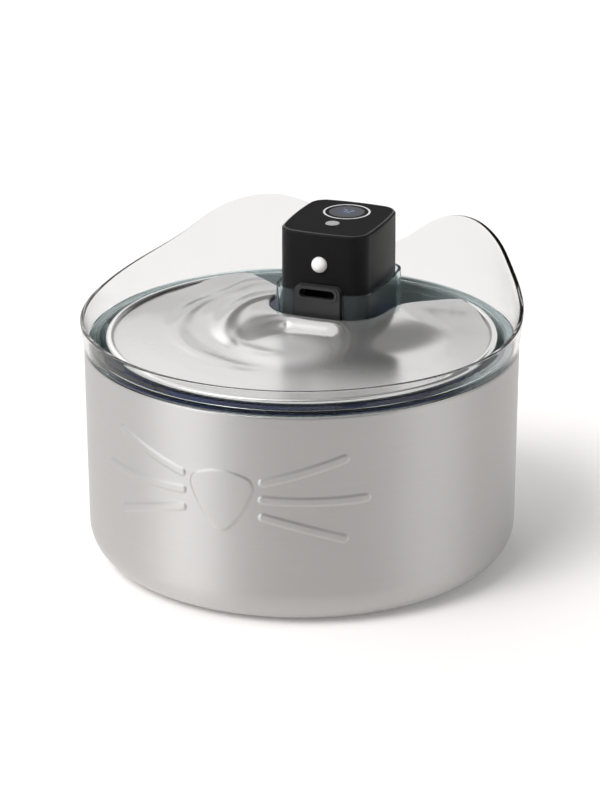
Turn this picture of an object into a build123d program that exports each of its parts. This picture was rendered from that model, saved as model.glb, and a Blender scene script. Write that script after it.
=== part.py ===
from build123d import *

import os
from math import atan2, degrees, sin

# All sizes are in millimetres. The origin is the centre of the bowl's base, +Z is up, and the
# spout and the drinking side face -Y. "half" sizes are measured from an axis of symmetry.

# --- Bowl ---------------------------------------------------------------------------------
BOWL_RADIUS = 105.0
BOWL_HEIGHT = 107.0
BOWL_BASE_RADIUS = 103.55
BOWL_CORNER = 18.7
STEEL = 0.8
RIM_INNER_RADIUS = 101.8
RIM_CORNER = 1.4
FOOT_RADIUS = 62.0
FOOT_RISE = 1.2
FOOT_BLEND = 4.0
FOOT_FILLET = 3.0

# --- Pressed nose and whiskers: (distance round the wall, height) -------------------------
RELIEF = 0.5
RELIEF_LOW = 38.0
RELIEF_HIGH = 95.0
NOSE_TOP = (0, 78.2)
NOSE_SHOULDER = (16.6, 73.6)
NOSE_SIDE = (10.2, 58.0)
NOSE_TIP = (0, 46.6)
NOSE_CORNER = 4.6
WHISKER_WIDTH = 3.6
WHISKERS = (
    ((20.4, 74.0), (39.3, 79.5), (58.6, 85.8)),
    ((20.2, 65.4), (42.0, 64.9), (68.6, 65.5)),
    ((20.3, 56.6), (39.9, 51.4), (58.0, 45.9)),
)

# --- Splash guard -------------------------------------------------------------------------
GUARD_OUTER_RADIUS = 106.8
GUARD_WALL = 2.0
GUARD_LIP = 120.3
GUARD_FOOT = 1.6
GUARD_FOOT_INNER = 99.8
GUARD_SKIRT_OUTER = 101.5
GUARD_SKIRT_INNER = 100.0
GUARD_SKIRT_DEPTH = 4.0
EAR_PEAK = 148.0
EAR_VALLEY = 124.5
EAR_RISE = (24.5, 136.2)
EAR_CENTRE = 58.0
EAR_SIDE = (81.3, 137.4)
EAR_STEEPNESS = 2.6
SIDE_SPLIT = 67.4
SIDE_MIDDLE = (36.0, 125.9)
SIDE_END = -34.0
SIDE_SLOPE = 0.78
CLEAR_OF_ALL = 170.0

# --- Filter tray --------------------------------------------------------------------------
TRAY_FLOOR = 93.2
TRAY_WALL = 1.6
TRAY_OUTER = 99.4
TRAY_LIP_OUTER = 102.0
TRAY_LIP_THICK = 1.4
TRAY_CORNER = 5.0
RIB_ANGLES = (30, 80, 130, -30, -80, -130)
RIB_WIDTH = 3.0
RIB_INNER = 91.0
RIB_TOP = 108.5
DRAIN_RADIUS = 2.5
DRAIN_RINGS = ((48.0, 11, 200.0), (62.0, 15, 210.0), (76.0, 19, 216.0))

# --- Collar round the pump column ---------------------------------------------------------
COLUMN_Y = 51.0
COLLAR_HALF_X = 26.0
COLLAR_HALF_Y = 29.5
COLLAR_WALL = 1.5
COLLAR_TOP = 124.0
COLLAR_GATE_HALF = 12.7
COLLAR_GATE_LOW = 107.0
SIDE_BOW = 1.8
COLLAR_CORNER = 11.0
HOUSING_CORNER = 9.0

# --- Filter -------------------------------------------------------------------------------
FILTER_RADIUS = 86.0
FILTER_SLOT_HALF = 30.5
FILTER_SLOT_FRONT = 16.5
FILTER_SLOT_CORNER = 12.0
FILTER_TOP = 103.2
FILTER_WALL = 1.3
FILTER_FIT = 0.15
LID_THICK = 1.2
FOAM_THICK = 3.2
LID_SLOT = (9.0, 2.4)
LID_SLOT_ROWS = ((42.0, 13, 200.0), (56.0, 19, 214.0), (70.0, 25, 224.0))

# --- Drinking plate -----------------------------------------------------------------------
PLATE_RADIUS = 94.5
PLATE_BEAD = 1.5
DISH_RADIUS = 93.5
PLATE_TOP = 111.8
PLATE_EDGE = 110.4
PLATE_CENTRE = 107.9
PLATE_STEEL = 0.8
HUMP_TOP = 113.3
HUMP_FOOT = 107.0
HUMP_SPREAD = 12.0
HUMP_FLAT = 1.4
HUMP_FALL = ((34.0, 113.3), (72.0, 111.9))
NOTCH = ((0, 17.2), (27.6, 17.2), (31.5, 55.0), (56.0, 74.0), (98.0, 52.0), (98.0, 112.0), (0, 112.0))
NOTCH_RADII = (17.0, 20.0, 14.0, 0, 0)
EDGE_ROLL = 1.5
EDGE_ROLL_DEPTH = 2.6

# --- Pump column: upper housing -----------------------------------------------------------
HOUSING_HALF_X = 23.5
HOUSING_HALF_Y = 27.0
HOUSING_WALL = 1.8
HOUSING_BOTTOM = TRAY_FLOOR + TRAY_WALL
HOUSING_TOP = 153.7
HOUSING_CHAMFER = 0.8
PANEL_THICK = 2.4
PANEL_RIM = 1.2
FIT = 0.05
SEAL_HEIGHT = 2.4
POST_X = 14.5
POST_Y = 16.0
POST_RADIUS = 1.8

# --- Pump column: lower housing, pump base and inlet --------------------------------------
STEM_HALF_X = 21.0
STEM_HALF_Y = 24.5
STEM_CORNER = 7.5
STEM_TOP = 104.0
STEM_BOTTOM = 27.0
STEM_FLOOR = 2.0
PUMP_Y = 54.0
WELL_RADIUS = 6.3
WELL_WALL = 1.2
WELL_TOP = 47.5
BASE_BOTTOM = 15.0
BOSS_RADIUS = 17.8
BOSS_BOTTOM = 10.0
CHAMBER_RADIUS = 12.5
CHAMBER_BOTTOM = 16.5
INLET_RADIUS = 5.5
OUTLET_CHANNEL = 6.0
COVER_RADIUS = 20.2
COVER_WALL = 2.0
COVER_BOTTOM = 3.0
COVER_FLOOR = 1.5
COVER_GROOVE = (12.0, 13.8)
COVER_GROOVE_DEPTH = 1.1
LUG_COUNT = 3
LUG_REACH = 0.8
LUG_WIDTH = 5.0
LUG_HEIGHTS = (12.3, 13.5)
LUG_TURN = 30.0
COVER_SLOT = (2.0, 5.0)
COVER_SLOTS = 24
COVER_GAP = 0.4
COVER_HEADROOM = 0.3
SPOKE_COUNT = 3
SPOKE_WIDTH = 1.4
SPOKE_HEIGHT = 2.4

# --- Spout and riser ----------------------------------------------------------------------
SPOUT_HALF = 11.7
SPOUT_FRONT = 20.6
SPOUT_LOW = 108.0
SPOUT_TOP = 128.0
SPOUT_CORNER = 3.0
SLOT_HALF = 9.1
SLOT_HEIGHT = 4.4
SLOT_CORNER = 2.0
SLOT_DEPTH = 5.0
SLOT_Z = 124.2
SLOT_FRAME = 1.3
SLOT_FRAME_PROUD = 0.5
SPOUT_REAR = 37.0
SPOUT_CHAMBER_HALF = 9.4
SPOUT_CHAMBER_LOW = 117.0
SPOUT_CHAMBER_TOP = 127.8
SPOUT_CHAMBER_WALL = 1.4
RISER_Y = 33.4
RISER_RADIUS = 3.5
RISER_BORE = 2.4
NIPPLE_REACH = 6.0
NIPPLE_BORE = 1.6

# --- Sensor, display and button -----------------------------------------------------------
LENS_RADIUS = 4.0
LENS_Z = 138.2
LENS_WALL = 0.8
LENS_FLANGE = 5.2
LENS_FLANGE_THICK = 0.9
LENS_SEAT_GAP = 0.2
SENSOR_RADIUS = 4.1
SENSOR_DEPTH = 3.6
SENSOR_ROUND = 0.5
SENSOR_PIN_CIRCLE = 2.5
SENSOR_PIN_RADIUS = 0.3
SENSOR_PINS = 3
DISPLAY_Y = 61.8
WINDOW_RADIUS = 8.8
WINDOW_THICK = 1.0
WINDOW_LEDGE = 1.0
RING_INNER = 10.7
RING_OUTER = 11.7
RING_DEPTH = 1.2
BUTTON_Y = 42.0
BUTTON_RADIUS = 3.5
BUTTON_GAP = 0.1
BUTTON_PROUD = 0.25
BUTTON_FLANGE = 4.4
BUTTON_FLANGE_THICK = 0.7
BUTTON_STEM = 1.6
BUTTON_STEM_END = 149.4
BOARD_THICK = 1.4
DISPLAY_BOARD_Z = 144.6
DISPLAY_BOARD = (34.0, 40.0)
DISPLAY_BOARD_Y = 52.0
DISPLAY_BOARD_CORNER = 5.0
MODULE_SIDE = 16.0
SWITCH_SIZE = (6.0, 6.0, 2.4)
SWITCH_CORNER = 0.5
SWITCH_PLUNGER = 0.5

# --- Inside the column --------------------------------------------------------------------
CELL_RADIUS = 9.1
CELL_X = 9.35
CELL_Y = 58.0
CELL_BOTTOM = 62.0
CELL_LENGTH = 65.0
CELL_ROUND = 0.8
CELL_NUB = (2.8, 1.0)
HOLDER_WIDTH = 35.6
HOLDER_THICK = 1.6
HOLDER_SHELF = 2.2
HOLDER_LOW = 59.6
HOLDER_BACK_Y = 47.0
HOLDER_SHELF_END = 66.5
RAIL_X = 18.4
RAIL_SIZE = (2.4, 20.0)
CONTROL_BOARD = (34.0, 42.0)
CONTROL_BOARD_Y = 45.6
CONTROL_BOARD_LOW = 99.0
CHIPS = (
    (-8.0, 108.0, 7.0, 7.0),
    (6.0, 112.0, 10.0, 6.0),
    (9.0, 126.0, 5.0, 4.0),
    (-9.0, 124.0, 6.0, 3.0),
)
CHIP_THICK = 1.2

# --- Charging port ------------------------------------------------------------------------
PORT_Z = 138.4
PORT_FRONT = 76.0
PORT_SIZE = (9.0, 7.4, 3.2)
PORT_TONGUE = (6.6, 0.7)
PORT_GAP = 0.3
PORT_SHELF = (12.0, 9.0)
PLUG_SIZE = (14.0, 1.05, 9.6)
PLUG_SEAT_Y = 77.0
PLUG_GAP = 0.1
PLUG_SWING = 0.6
PLUG_CORNER = 1.5
PLUG_TONGUE = (8.0, 1.1, 2.4)

# --- Motor and impeller -------------------------------------------------------------------
STATOR_OUTER = 16.0
STATOR_RIM = 2.0
STATOR_INNER = 7.8
STATOR_POLE = 4.0
POLE_COUNT = 4
STATOR_Z = (31.0, 42.0)
COIL_SIZE = (4.6, 7.6, 15.0)
SHAFT_RADIUS = 1.15
SHAFT_BORE = 1.2
SHAFT_BOTTOM = 12.6
BUSH_RADIUS = 2.6
BUSH_HEIGHT = 1.2
MAGNET_RADIUS = 5.7
MAGNET_TOP = 43.4
WHEEL_RADIUS = 10.6
HUB_BOTTOM = 16.8
BLADE_BOTTOM = 18.0
DISC_BOTTOM = 23.6
DISC_THICK = 1.2
BLADE_COUNT = 6
BLADE = (7.4, 1.2)
SCREW_X = 14.6
SCREW_Y = 17.6
SCREW_RADIUS = 1.25
SCREW_HEAD = (2.2, 1.6)
SCREW_CROSS = (2.4, 0.6)
SCREW_END = 35.0
BOSS_AROUND_SCREW = 2.7
SCREW_GAP = 0.05

os.makedirs("parts", exist_ok=True)


def finish(part, name):
    """Labels a finished piece and writes its STEP file."""
    part.label = name
    export_step(part, f"parts/{name}.step")


def column_plane(height, centre_y=COLUMN_Y):
    """Level work plane on the axis of the pump column."""
    return Plane((0, centre_y, height))


def pillow(half_x, half_y, corner):
    """Outline with four gently bowed sides and rounded corners."""
    corner_x = half_x - SIDE_BOW
    corner_y = half_y - SIDE_BOW
    with BuildSketch(mode=Mode.PRIVATE) as outline:
        with BuildLine():
            ThreePointArc((-corner_x, -corner_y), (0, -half_y), (corner_x, -corner_y))
            ThreePointArc((corner_x, -corner_y), (half_x, 0), (corner_x, corner_y))
            ThreePointArc((corner_x, corner_y), (0, half_y), (-corner_x, corner_y))
            ThreePointArc((-corner_x, corner_y), (-half_x, 0), (-corner_x, -corner_y))
        make_face()
        fillet(outline.vertices(), radius=corner)
    return outline.sketch


def housing_outline(inset=0.0):
    """Outline of the upper housing, drawn inwards by inset."""
    return pillow(HOUSING_HALF_X - inset, HOUSING_HALF_Y - inset, HOUSING_CORNER - inset)


def stem_outline(inset=0.0):
    """Outline of the lower housing, drawn inwards by inset."""
    return pillow(STEM_HALF_X - inset, STEM_HALF_Y - inset, STEM_CORNER - inset)


def collar_outline(inset=0.0):
    """Outline of the clear collar, drawn inwards by inset."""
    return pillow(COLLAR_HALF_X - inset, COLLAR_HALF_Y - inset, COLLAR_CORNER - inset)


def bowl_radius(height):
    """Outer radius of the bowl's tapering wall at a height."""
    return BOWL_BASE_RADIUS + (BOWL_RADIUS - BOWL_BASE_RADIUS) * height / BOWL_HEIGHT


def across(point):
    """The same point on the other side of the middle."""
    return (-point[0], point[1])


def on_front(point):
    """Point on the bowl's front, from distance round the wall and height to a flat view."""
    around, height = point
    wall = bowl_radius(height)
    return (wall * sin(around / wall), height)


def filter_outline(inset=0.0):
    """Plan of the filter: a disc with a round-cornered bay for the collar at the back."""
    bay_depth = 2 * FILTER_RADIUS
    with BuildSketch(mode=Mode.PRIVATE) as outline:
        Circle(FILTER_RADIUS - inset)
        with Locations((0, FILTER_SLOT_FRONT - inset + bay_depth / 2)):
            RectangleRounded(
                2 * (FILTER_SLOT_HALF + inset), bay_depth, FILTER_SLOT_CORNER + inset,
                mode=Mode.SUBTRACT,
            )
    return outline.sketch


def front_fan(radius, count, sweep):
    """Places spaced evenly on an arc that is centred on the front."""
    return PolarLocations(radius, count, start_angle=-90 - sweep / 2, angular_range=sweep, endpoint=True)


# --- Steel bowl ---------------------------------------------------------------------------
with BuildPart() as relief:
    with BuildSketch(Plane.XZ):
        with BuildLine():
            Polyline(
                (bowl_radius(RELIEF_LOW) - STEEL / 2, RELIEF_LOW),
                (bowl_radius(RELIEF_LOW) + RELIEF, RELIEF_LOW),
                (bowl_radius(RELIEF_HIGH) + RELIEF, RELIEF_HIGH),
                (bowl_radius(RELIEF_HIGH) - STEEL / 2, RELIEF_HIGH),
                close=True,
            )
        make_face()
    revolve(axis=Axis.Z)
    with BuildSketch(Plane.XZ):
        with BuildSketch(mode=Mode.PRIVATE) as nose:
            with BuildLine():
                ThreePointArc(across(NOSE_SHOULDER), NOSE_TOP, NOSE_SHOULDER)
                ThreePointArc(NOSE_SHOULDER, NOSE_SIDE, NOSE_TIP)
                ThreePointArc(NOSE_TIP, across(NOSE_SIDE), across(NOSE_SHOULDER))
            make_face()
            fillet(nose.vertices(), radius=NOSE_CORNER)
        add(nose.sketch)
        for whisker in WHISKERS:
            inner, middle, outer = (on_front(point) for point in whisker)
            SlotArc(Edge.make_three_point_arc(inner, middle, outer), WHISKER_WIDTH)
        mirror(about=Plane.YZ)
    extrude(amount=BOWL_RADIUS + STEEL, mode=Mode.INTERSECT)

with BuildPart() as steel_bowl:
    with BuildSketch(Plane.XZ):
        with BuildLine():
            FilletPolyline(
                (0, FOOT_RISE),
                (FOOT_RADIUS - FOOT_BLEND, FOOT_RISE),
                (FOOT_RADIUS, 0),
                (BOWL_BASE_RADIUS, 0),
                (BOWL_RADIUS, BOWL_HEIGHT),
                (RIM_INNER_RADIUS, BOWL_HEIGHT),
                radius=(FOOT_FILLET, FOOT_FILLET, BOWL_CORNER, RIM_CORNER),
            )
            offset(amount=STEEL, side=Side.LEFT)
        make_face()
    revolve(axis=Axis.Z)
    add(relief.part)
finish(steel_bowl.part, "steel_bowl")

# --- Splash guard -------------------------------------------------------------------------
with BuildPart() as splash_guard:
    with BuildSketch(Plane.XZ):
        with BuildLine():
            Polyline(
                (GUARD_SKIRT_INNER, BOWL_HEIGHT - GUARD_SKIRT_DEPTH),
                (GUARD_SKIRT_OUTER, BOWL_HEIGHT - GUARD_SKIRT_DEPTH),
                (GUARD_SKIRT_OUTER, BOWL_HEIGHT),
                (BOWL_RADIUS, BOWL_HEIGHT),
                (GUARD_OUTER_RADIUS, GUARD_LIP),
                (GUARD_OUTER_RADIUS, EAR_PEAK),
                (GUARD_OUTER_RADIUS - GUARD_WALL, EAR_PEAK),
                (GUARD_OUTER_RADIUS - GUARD_WALL, GUARD_LIP),
                (BOWL_RADIUS - GUARD_WALL, BOWL_HEIGHT + GUARD_FOOT),
                (GUARD_FOOT_INNER, BOWL_HEIGHT + GUARD_FOOT),
                (GUARD_FOOT_INNER, BOWL_HEIGHT),
                (GUARD_SKIRT_INNER, BOWL_HEIGHT),
                close=True,
            )
        make_face()
    revolve(axis=Axis.Z)
    with BuildSketch(Plane.XZ.offset(-SIDE_SPLIT)):
        with BuildLine():
            Spline(
                (0, EAR_VALLEY), EAR_RISE, (EAR_CENTRE, EAR_PEAK), EAR_SIDE,
                tangents=((1, 0), (EAR_SIDE[0] - EAR_CENTRE, EAR_STEEPNESS * (EAR_SIDE[1] - EAR_PEAK))),
            )
            Polyline(EAR_SIDE, (GUARD_OUTER_RADIUS, EAR_SIDE[1]), (GUARD_OUTER_RADIUS, CLEAR_OF_ALL),
                     (0, CLEAR_OF_ALL), (0, EAR_VALLEY))
        make_face()
        mirror(about=Plane.YZ)
    extrude(amount=-GUARD_OUTER_RADIUS, mode=Mode.SUBTRACT)
    with BuildSketch(Plane.YZ):
        with BuildLine():
            Spline(
                (SIDE_SPLIT, EAR_SIDE[1]), SIDE_MIDDLE, (SIDE_END, GUARD_LIP),
                tangents=((-1, -SIDE_SLOPE), (-1, 0)),
            )
            Polyline((SIDE_END, GUARD_LIP), (-CLEAR_OF_ALL, GUARD_LIP), (-CLEAR_OF_ALL, CLEAR_OF_ALL),
                     (SIDE_SPLIT, CLEAR_OF_ALL), (SIDE_SPLIT, EAR_SIDE[1]))
        make_face()
    extrude(amount=CLEAR_OF_ALL, both=True, mode=Mode.SUBTRACT)
finish(splash_guard.part, "splash_guard")

# --- Filter tray --------------------------------------------------------------------------
TRAY_LIP_TOP = BOWL_HEIGHT + GUARD_FOOT + TRAY_LIP_THICK

with BuildPart() as filter_tray:
    with BuildSketch(Plane.XZ):
        with BuildLine():
            FilletPolyline(
                (0, TRAY_FLOOR),
                (TRAY_OUTER, TRAY_FLOOR),
                (TRAY_OUTER, TRAY_LIP_TOP),
                radius=TRAY_CORNER,
            )
            offset(amount=TRAY_WALL, side=Side.LEFT)
        make_face()
    revolve(axis=Axis.Z)
    with BuildSketch(Plane.XY.offset(TRAY_LIP_TOP)):
        Circle(TRAY_LIP_OUTER)
        Circle(TRAY_OUTER - TRAY_WALL, mode=Mode.SUBTRACT)
    extrude(amount=-TRAY_LIP_THICK)
    with BuildSketch(Plane.XY.offset(TRAY_FLOOR + TRAY_WALL)):
        for angle in RIB_ANGLES:
            with Locations(Rot(Z=angle - 90) * Pos((RIB_INNER + TRAY_OUTER - TRAY_WALL / 2) / 2, 0)):
                Rectangle(TRAY_OUTER - TRAY_WALL / 2 - RIB_INNER, RIB_WIDTH)
    extrude(amount=RIB_TOP - TRAY_FLOOR - TRAY_WALL)
    with BuildSketch(column_plane(TRAY_FLOOR)):
        add(collar_outline())
    extrude(amount=COLLAR_TOP - TRAY_FLOOR)
    with BuildSketch(column_plane(TRAY_FLOOR + TRAY_WALL)):
        add(collar_outline(COLLAR_WALL))
    extrude(amount=COLLAR_TOP, mode=Mode.SUBTRACT)
    with BuildSketch(column_plane(TRAY_FLOOR)):
        add(stem_outline(-COLLAR_WALL / 2))
    extrude(amount=COLLAR_TOP, mode=Mode.SUBTRACT)
    with BuildSketch(Plane.XZ):
        with Locations((0, (COLLAR_GATE_LOW + CLEAR_OF_ALL) / 2)):
            RectangleRounded(2 * COLLAR_GATE_HALF, CLEAR_OF_ALL - COLLAR_GATE_LOW, SPOUT_CORNER)
    extrude(amount=-COLUMN_Y, mode=Mode.SUBTRACT)
    with BuildSketch(Plane.XY.offset(TRAY_FLOOR)):
        for radius, count, sweep in DRAIN_RINGS:
            with front_fan(radius, count, sweep):
                Circle(DRAIN_RADIUS)
    extrude(amount=TRAY_WALL, mode=Mode.SUBTRACT)
finish(filter_tray.part, "filter_tray")

# --- Filter -------------------------------------------------------------------------------
FILTER_BOTTOM = TRAY_FLOOR + TRAY_WALL
FOAM_BOTTOM = FILTER_TOP - LID_THICK - FOAM_THICK
CASE_FLOOR_TOP = FILTER_BOTTOM + FILTER_WALL

with BuildPart() as filter_case:
    with BuildSketch(Plane.XY.offset(FILTER_BOTTOM)):
        add(filter_outline())
    extrude(amount=FILTER_TOP - FILTER_BOTTOM)
    with BuildSketch(Plane.XY.offset(CASE_FLOOR_TOP)):
        add(filter_outline(FILTER_WALL))
    extrude(amount=FILTER_TOP, mode=Mode.SUBTRACT)
    with BuildSketch(Plane.XY.offset(FILTER_BOTTOM)):
        for radius, count, sweep in DRAIN_RINGS:
            with front_fan(radius, count, sweep):
                Circle(DRAIN_RADIUS)
    extrude(amount=FILTER_WALL, mode=Mode.SUBTRACT)
finish(filter_case.part, "filter_case")

with BuildPart() as carbon_bed:
    with BuildSketch(Plane.XY.offset(CASE_FLOOR_TOP)):
        add(filter_outline(FILTER_WALL + FILTER_FIT))
    extrude(amount=FOAM_BOTTOM - CASE_FLOOR_TOP)
finish(carbon_bed.part, "carbon_bed")

with BuildPart() as foam_pad:
    with BuildSketch(Plane.XY.offset(FOAM_BOTTOM)):
        add(filter_outline(FILTER_WALL + FILTER_FIT))
    extrude(amount=FOAM_THICK)
finish(foam_pad.part, "foam_pad")

with BuildPart() as filter_lid:
    with BuildSketch(Plane.XY.offset(FILTER_TOP)):
        add(filter_outline(FILTER_WALL + FILTER_FIT))
        for radius, count, sweep in LID_SLOT_ROWS:
            with front_fan(radius, count, sweep):
                SlotOverall(*LID_SLOT, mode=Mode.SUBTRACT)
    extrude(amount=-LID_THICK)
finish(filter_lid.part, "filter_lid")

# --- Drinking plate -----------------------------------------------------------------------
def notch_outline(spread=0.0):
    """Bay at the back of the plate that clears the collar, widened by spread."""
    with BuildSketch(mode=Mode.PRIVATE) as outline:
        with BuildLine():
            FilletPolyline(*NOTCH, radius=NOTCH_RADII)
            Line(NOTCH[-1], NOTCH[0])
        make_face()
        mirror(about=Plane.YZ)
        if spread:
            offset(amount=spread)
    return outline.sketch


with BuildPart() as hump:
    with BuildSketch(Plane.XY.offset(HUMP_TOP)):
        add(notch_outline(HUMP_FLAT))
    extrude(
        amount=HUMP_FOOT - HUMP_TOP,
        taper=-degrees(atan2(HUMP_SPREAD, HUMP_TOP - HUMP_FOOT)),
    )
    with BuildSketch(Plane.YZ):
        with BuildLine():
            Polyline(
                *HUMP_FALL, (CLEAR_OF_ALL, HUMP_FALL[1][1]), (CLEAR_OF_ALL, CLEAR_OF_ALL),
                (HUMP_FALL[0][0], CLEAR_OF_ALL), close=True,
            )
        make_face()
    extrude(amount=CLEAR_OF_ALL, both=True, mode=Mode.SUBTRACT)
    with BuildSketch(Plane.XY.offset(HUMP_FOOT)):
        Circle(PLATE_RADIUS - PLATE_BEAD)
    extrude(amount=HUMP_TOP, mode=Mode.INTERSECT)

with BuildPart() as plate_top:
    with BuildSketch(Plane.XZ):
        with BuildLine():
            ThreePointArc((-DISH_RADIUS, PLATE_EDGE), (0, PLATE_CENTRE), (DISH_RADIUS, PLATE_EDGE))
            Polyline(
                (DISH_RADIUS, PLATE_EDGE), (DISH_RADIUS, TRAY_FLOOR),
                (-DISH_RADIUS, TRAY_FLOOR), (-DISH_RADIUS, PLATE_EDGE),
            )
        make_face()
        split(bisect_by=Plane.YZ)
    revolve(axis=Axis.Z)
    add(hump.part)

with BuildPart() as plate_edge_roll:
    add(plate_top.part)
    add(Pos(0, 0, -EDGE_ROLL_DEPTH) * plate_top.part, mode=Mode.SUBTRACT)
    with BuildSketch(Plane.XY.offset(TRAY_FLOOR)):
        add(notch_outline(EDGE_ROLL))
    extrude(amount=CLEAR_OF_ALL, mode=Mode.INTERSECT)

with BuildPart() as drinking_plate:
    add(plate_top.part)
    add(Pos(0, 0, -PLATE_STEEL) * plate_top.part, mode=Mode.SUBTRACT)
    add(plate_edge_roll.part)
    with BuildSketch(Plane.XZ):
        with Locations((PLATE_RADIUS - PLATE_BEAD, PLATE_TOP - PLATE_BEAD)):
            Circle(PLATE_BEAD)
    revolve(axis=Axis.Z)
    with BuildSketch(Plane.XY.offset(TRAY_FLOOR)):
        add(notch_outline())
    extrude(amount=CLEAR_OF_ALL, mode=Mode.SUBTRACT)
finish(drinking_plate.part, "drinking_plate")

# --- Upper housing ------------------------------------------------------------------------
PANEL_BOTTOM = HOUSING_TOP - PANEL_THICK
HOUSING_FRONT = COLUMN_Y - HOUSING_HALF_Y
FRONT_CUT = 3 * HOUSING_WALL
SHELF_TOP = PORT_Z - PORT_SIZE[2] / 2

with BuildPart() as upper_housing:
    with BuildSketch(column_plane(HOUSING_BOTTOM)):
        add(housing_outline())
    extrude(amount=HOUSING_TOP - HOUSING_BOTTOM)
    chamfer(upper_housing.edges().group_by(Axis.Z)[-1], length=HOUSING_CHAMFER)
    with BuildSketch(column_plane(HOUSING_BOTTOM + HOUSING_WALL)):
        add(housing_outline(HOUSING_WALL))
    extrude(amount=PANEL_BOTTOM - HOUSING_BOTTOM - HOUSING_WALL, mode=Mode.SUBTRACT)
    with BuildSketch(column_plane(PANEL_BOTTOM)):
        add(housing_outline(PANEL_RIM))
    extrude(amount=PANEL_THICK, mode=Mode.SUBTRACT)
    with BuildSketch(column_plane(HOUSING_BOTTOM)):
        add(stem_outline(-FIT))
    extrude(amount=HOUSING_WALL, mode=Mode.SUBTRACT)
    with BuildSketch(Plane.XZ.offset(-HOUSING_FRONT + HOUSING_WALL)):
        with Locations((0, LENS_Z)):
            Circle(LENS_RADIUS + FIT)
        with Locations((0, (SPOUT_CHAMBER_LOW + SPOUT_CHAMBER_TOP) / 2)):
            Rectangle(2 * (SPOUT_CHAMBER_HALF + FIT), SPOUT_CHAMBER_TOP - SPOUT_CHAMBER_LOW + 2 * FIT)
    extrude(amount=-FRONT_CUT, mode=Mode.SUBTRACT)
    with BuildSketch(Plane.XZ.offset(-PLUG_SEAT_Y)):
        with Locations((0, PORT_Z)):
            Rectangle(PLUG_SIZE[0] + 2 * PORT_GAP, PLUG_SIZE[2] + 2 * PLUG_SWING)
    extrude(amount=-2 * PLUG_SIZE[1], mode=Mode.SUBTRACT)
    with BuildSketch(Plane.XZ.offset(-PLUG_SEAT_Y)):
        with Locations((0, PORT_Z)):
            SlotOverall(PORT_SIZE[0] + 2 * PORT_GAP, PORT_SIZE[2] + 2 * PLUG_SWING)
    extrude(amount=2 * HOUSING_WALL, mode=Mode.SUBTRACT)
    with BuildSketch(Plane.XY.offset(SHELF_TOP)):
        with Locations((0, PORT_FRONT + PLUG_SWING - PORT_SHELF[1] / 2)):
            Rectangle(*PORT_SHELF)
    extrude(amount=-HOUSING_WALL)
finish(upper_housing.part, "upper_housing")

# --- Lower housing with the sealed rotor well ---------------------------------------------
STEM_FLOOR_TOP = STEM_BOTTOM + STEM_FLOOR

with BuildPart() as lower_housing:
    with BuildSketch(column_plane(STEM_BOTTOM)):
        add(stem_outline())
    extrude(amount=STEM_TOP - STEM_BOTTOM)
    with BuildSketch(column_plane(STEM_FLOOR_TOP)):
        add(stem_outline(HOUSING_WALL))
    extrude(amount=STEM_TOP, mode=Mode.SUBTRACT)
    with BuildSketch(column_plane(STEM_FLOOR_TOP, PUMP_Y)):
        Circle(WELL_RADIUS + WELL_WALL)
    extrude(amount=WELL_TOP - STEM_FLOOR_TOP)
    with BuildSketch(column_plane(STEM_FLOOR_TOP)):
        with Locations((0, RISER_Y - COLUMN_Y)):
            Circle(RISER_BORE - FIT)
    extrude(amount=NIPPLE_REACH)
    with BuildSketch(column_plane(STEM_FLOOR_TOP)):
        with GridLocations(2 * SCREW_X, 2 * SCREW_Y, 2, 2):
            Circle(BOSS_AROUND_SCREW)
    extrude(amount=SCREW_END + SCREW_HEAD[1] - STEM_FLOOR_TOP)
    with BuildSketch(column_plane(HOLDER_LOW)):
        with GridLocations(2 * RAIL_X, 0, 2, 1):
            Rectangle(*RAIL_SIZE)
    extrude(amount=-HOUSING_WALL)
    with BuildSketch(column_plane(STEM_BOTTOM, PUMP_Y)):
        Circle(WELL_RADIUS)
    extrude(amount=WELL_TOP - WELL_WALL - STEM_BOTTOM, mode=Mode.SUBTRACT)
    with BuildSketch(column_plane(STEM_BOTTOM)):
        with Locations((0, RISER_Y - COLUMN_Y)):
            Circle(NIPPLE_BORE)
    extrude(amount=STEM_FLOOR + NIPPLE_REACH, mode=Mode.SUBTRACT)
    with BuildSketch(column_plane(STEM_BOTTOM)):
        with GridLocations(2 * SCREW_X, 2 * SCREW_Y, 2, 2):
            Circle(SCREW_RADIUS + SCREW_GAP)
    extrude(amount=SCREW_END + SCREW_GAP - STEM_BOTTOM, mode=Mode.SUBTRACT)
finish(lower_housing.part, "lower_housing")

with BuildPart() as housing_seal:
    with BuildSketch(column_plane(HOUSING_BOTTOM + HOUSING_WALL)):
        add(housing_outline(HOUSING_WALL + FIT))
        add(stem_outline(-FIT), mode=Mode.SUBTRACT)
    extrude(amount=SEAL_HEIGHT)
finish(housing_seal.part, "housing_seal")

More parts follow.
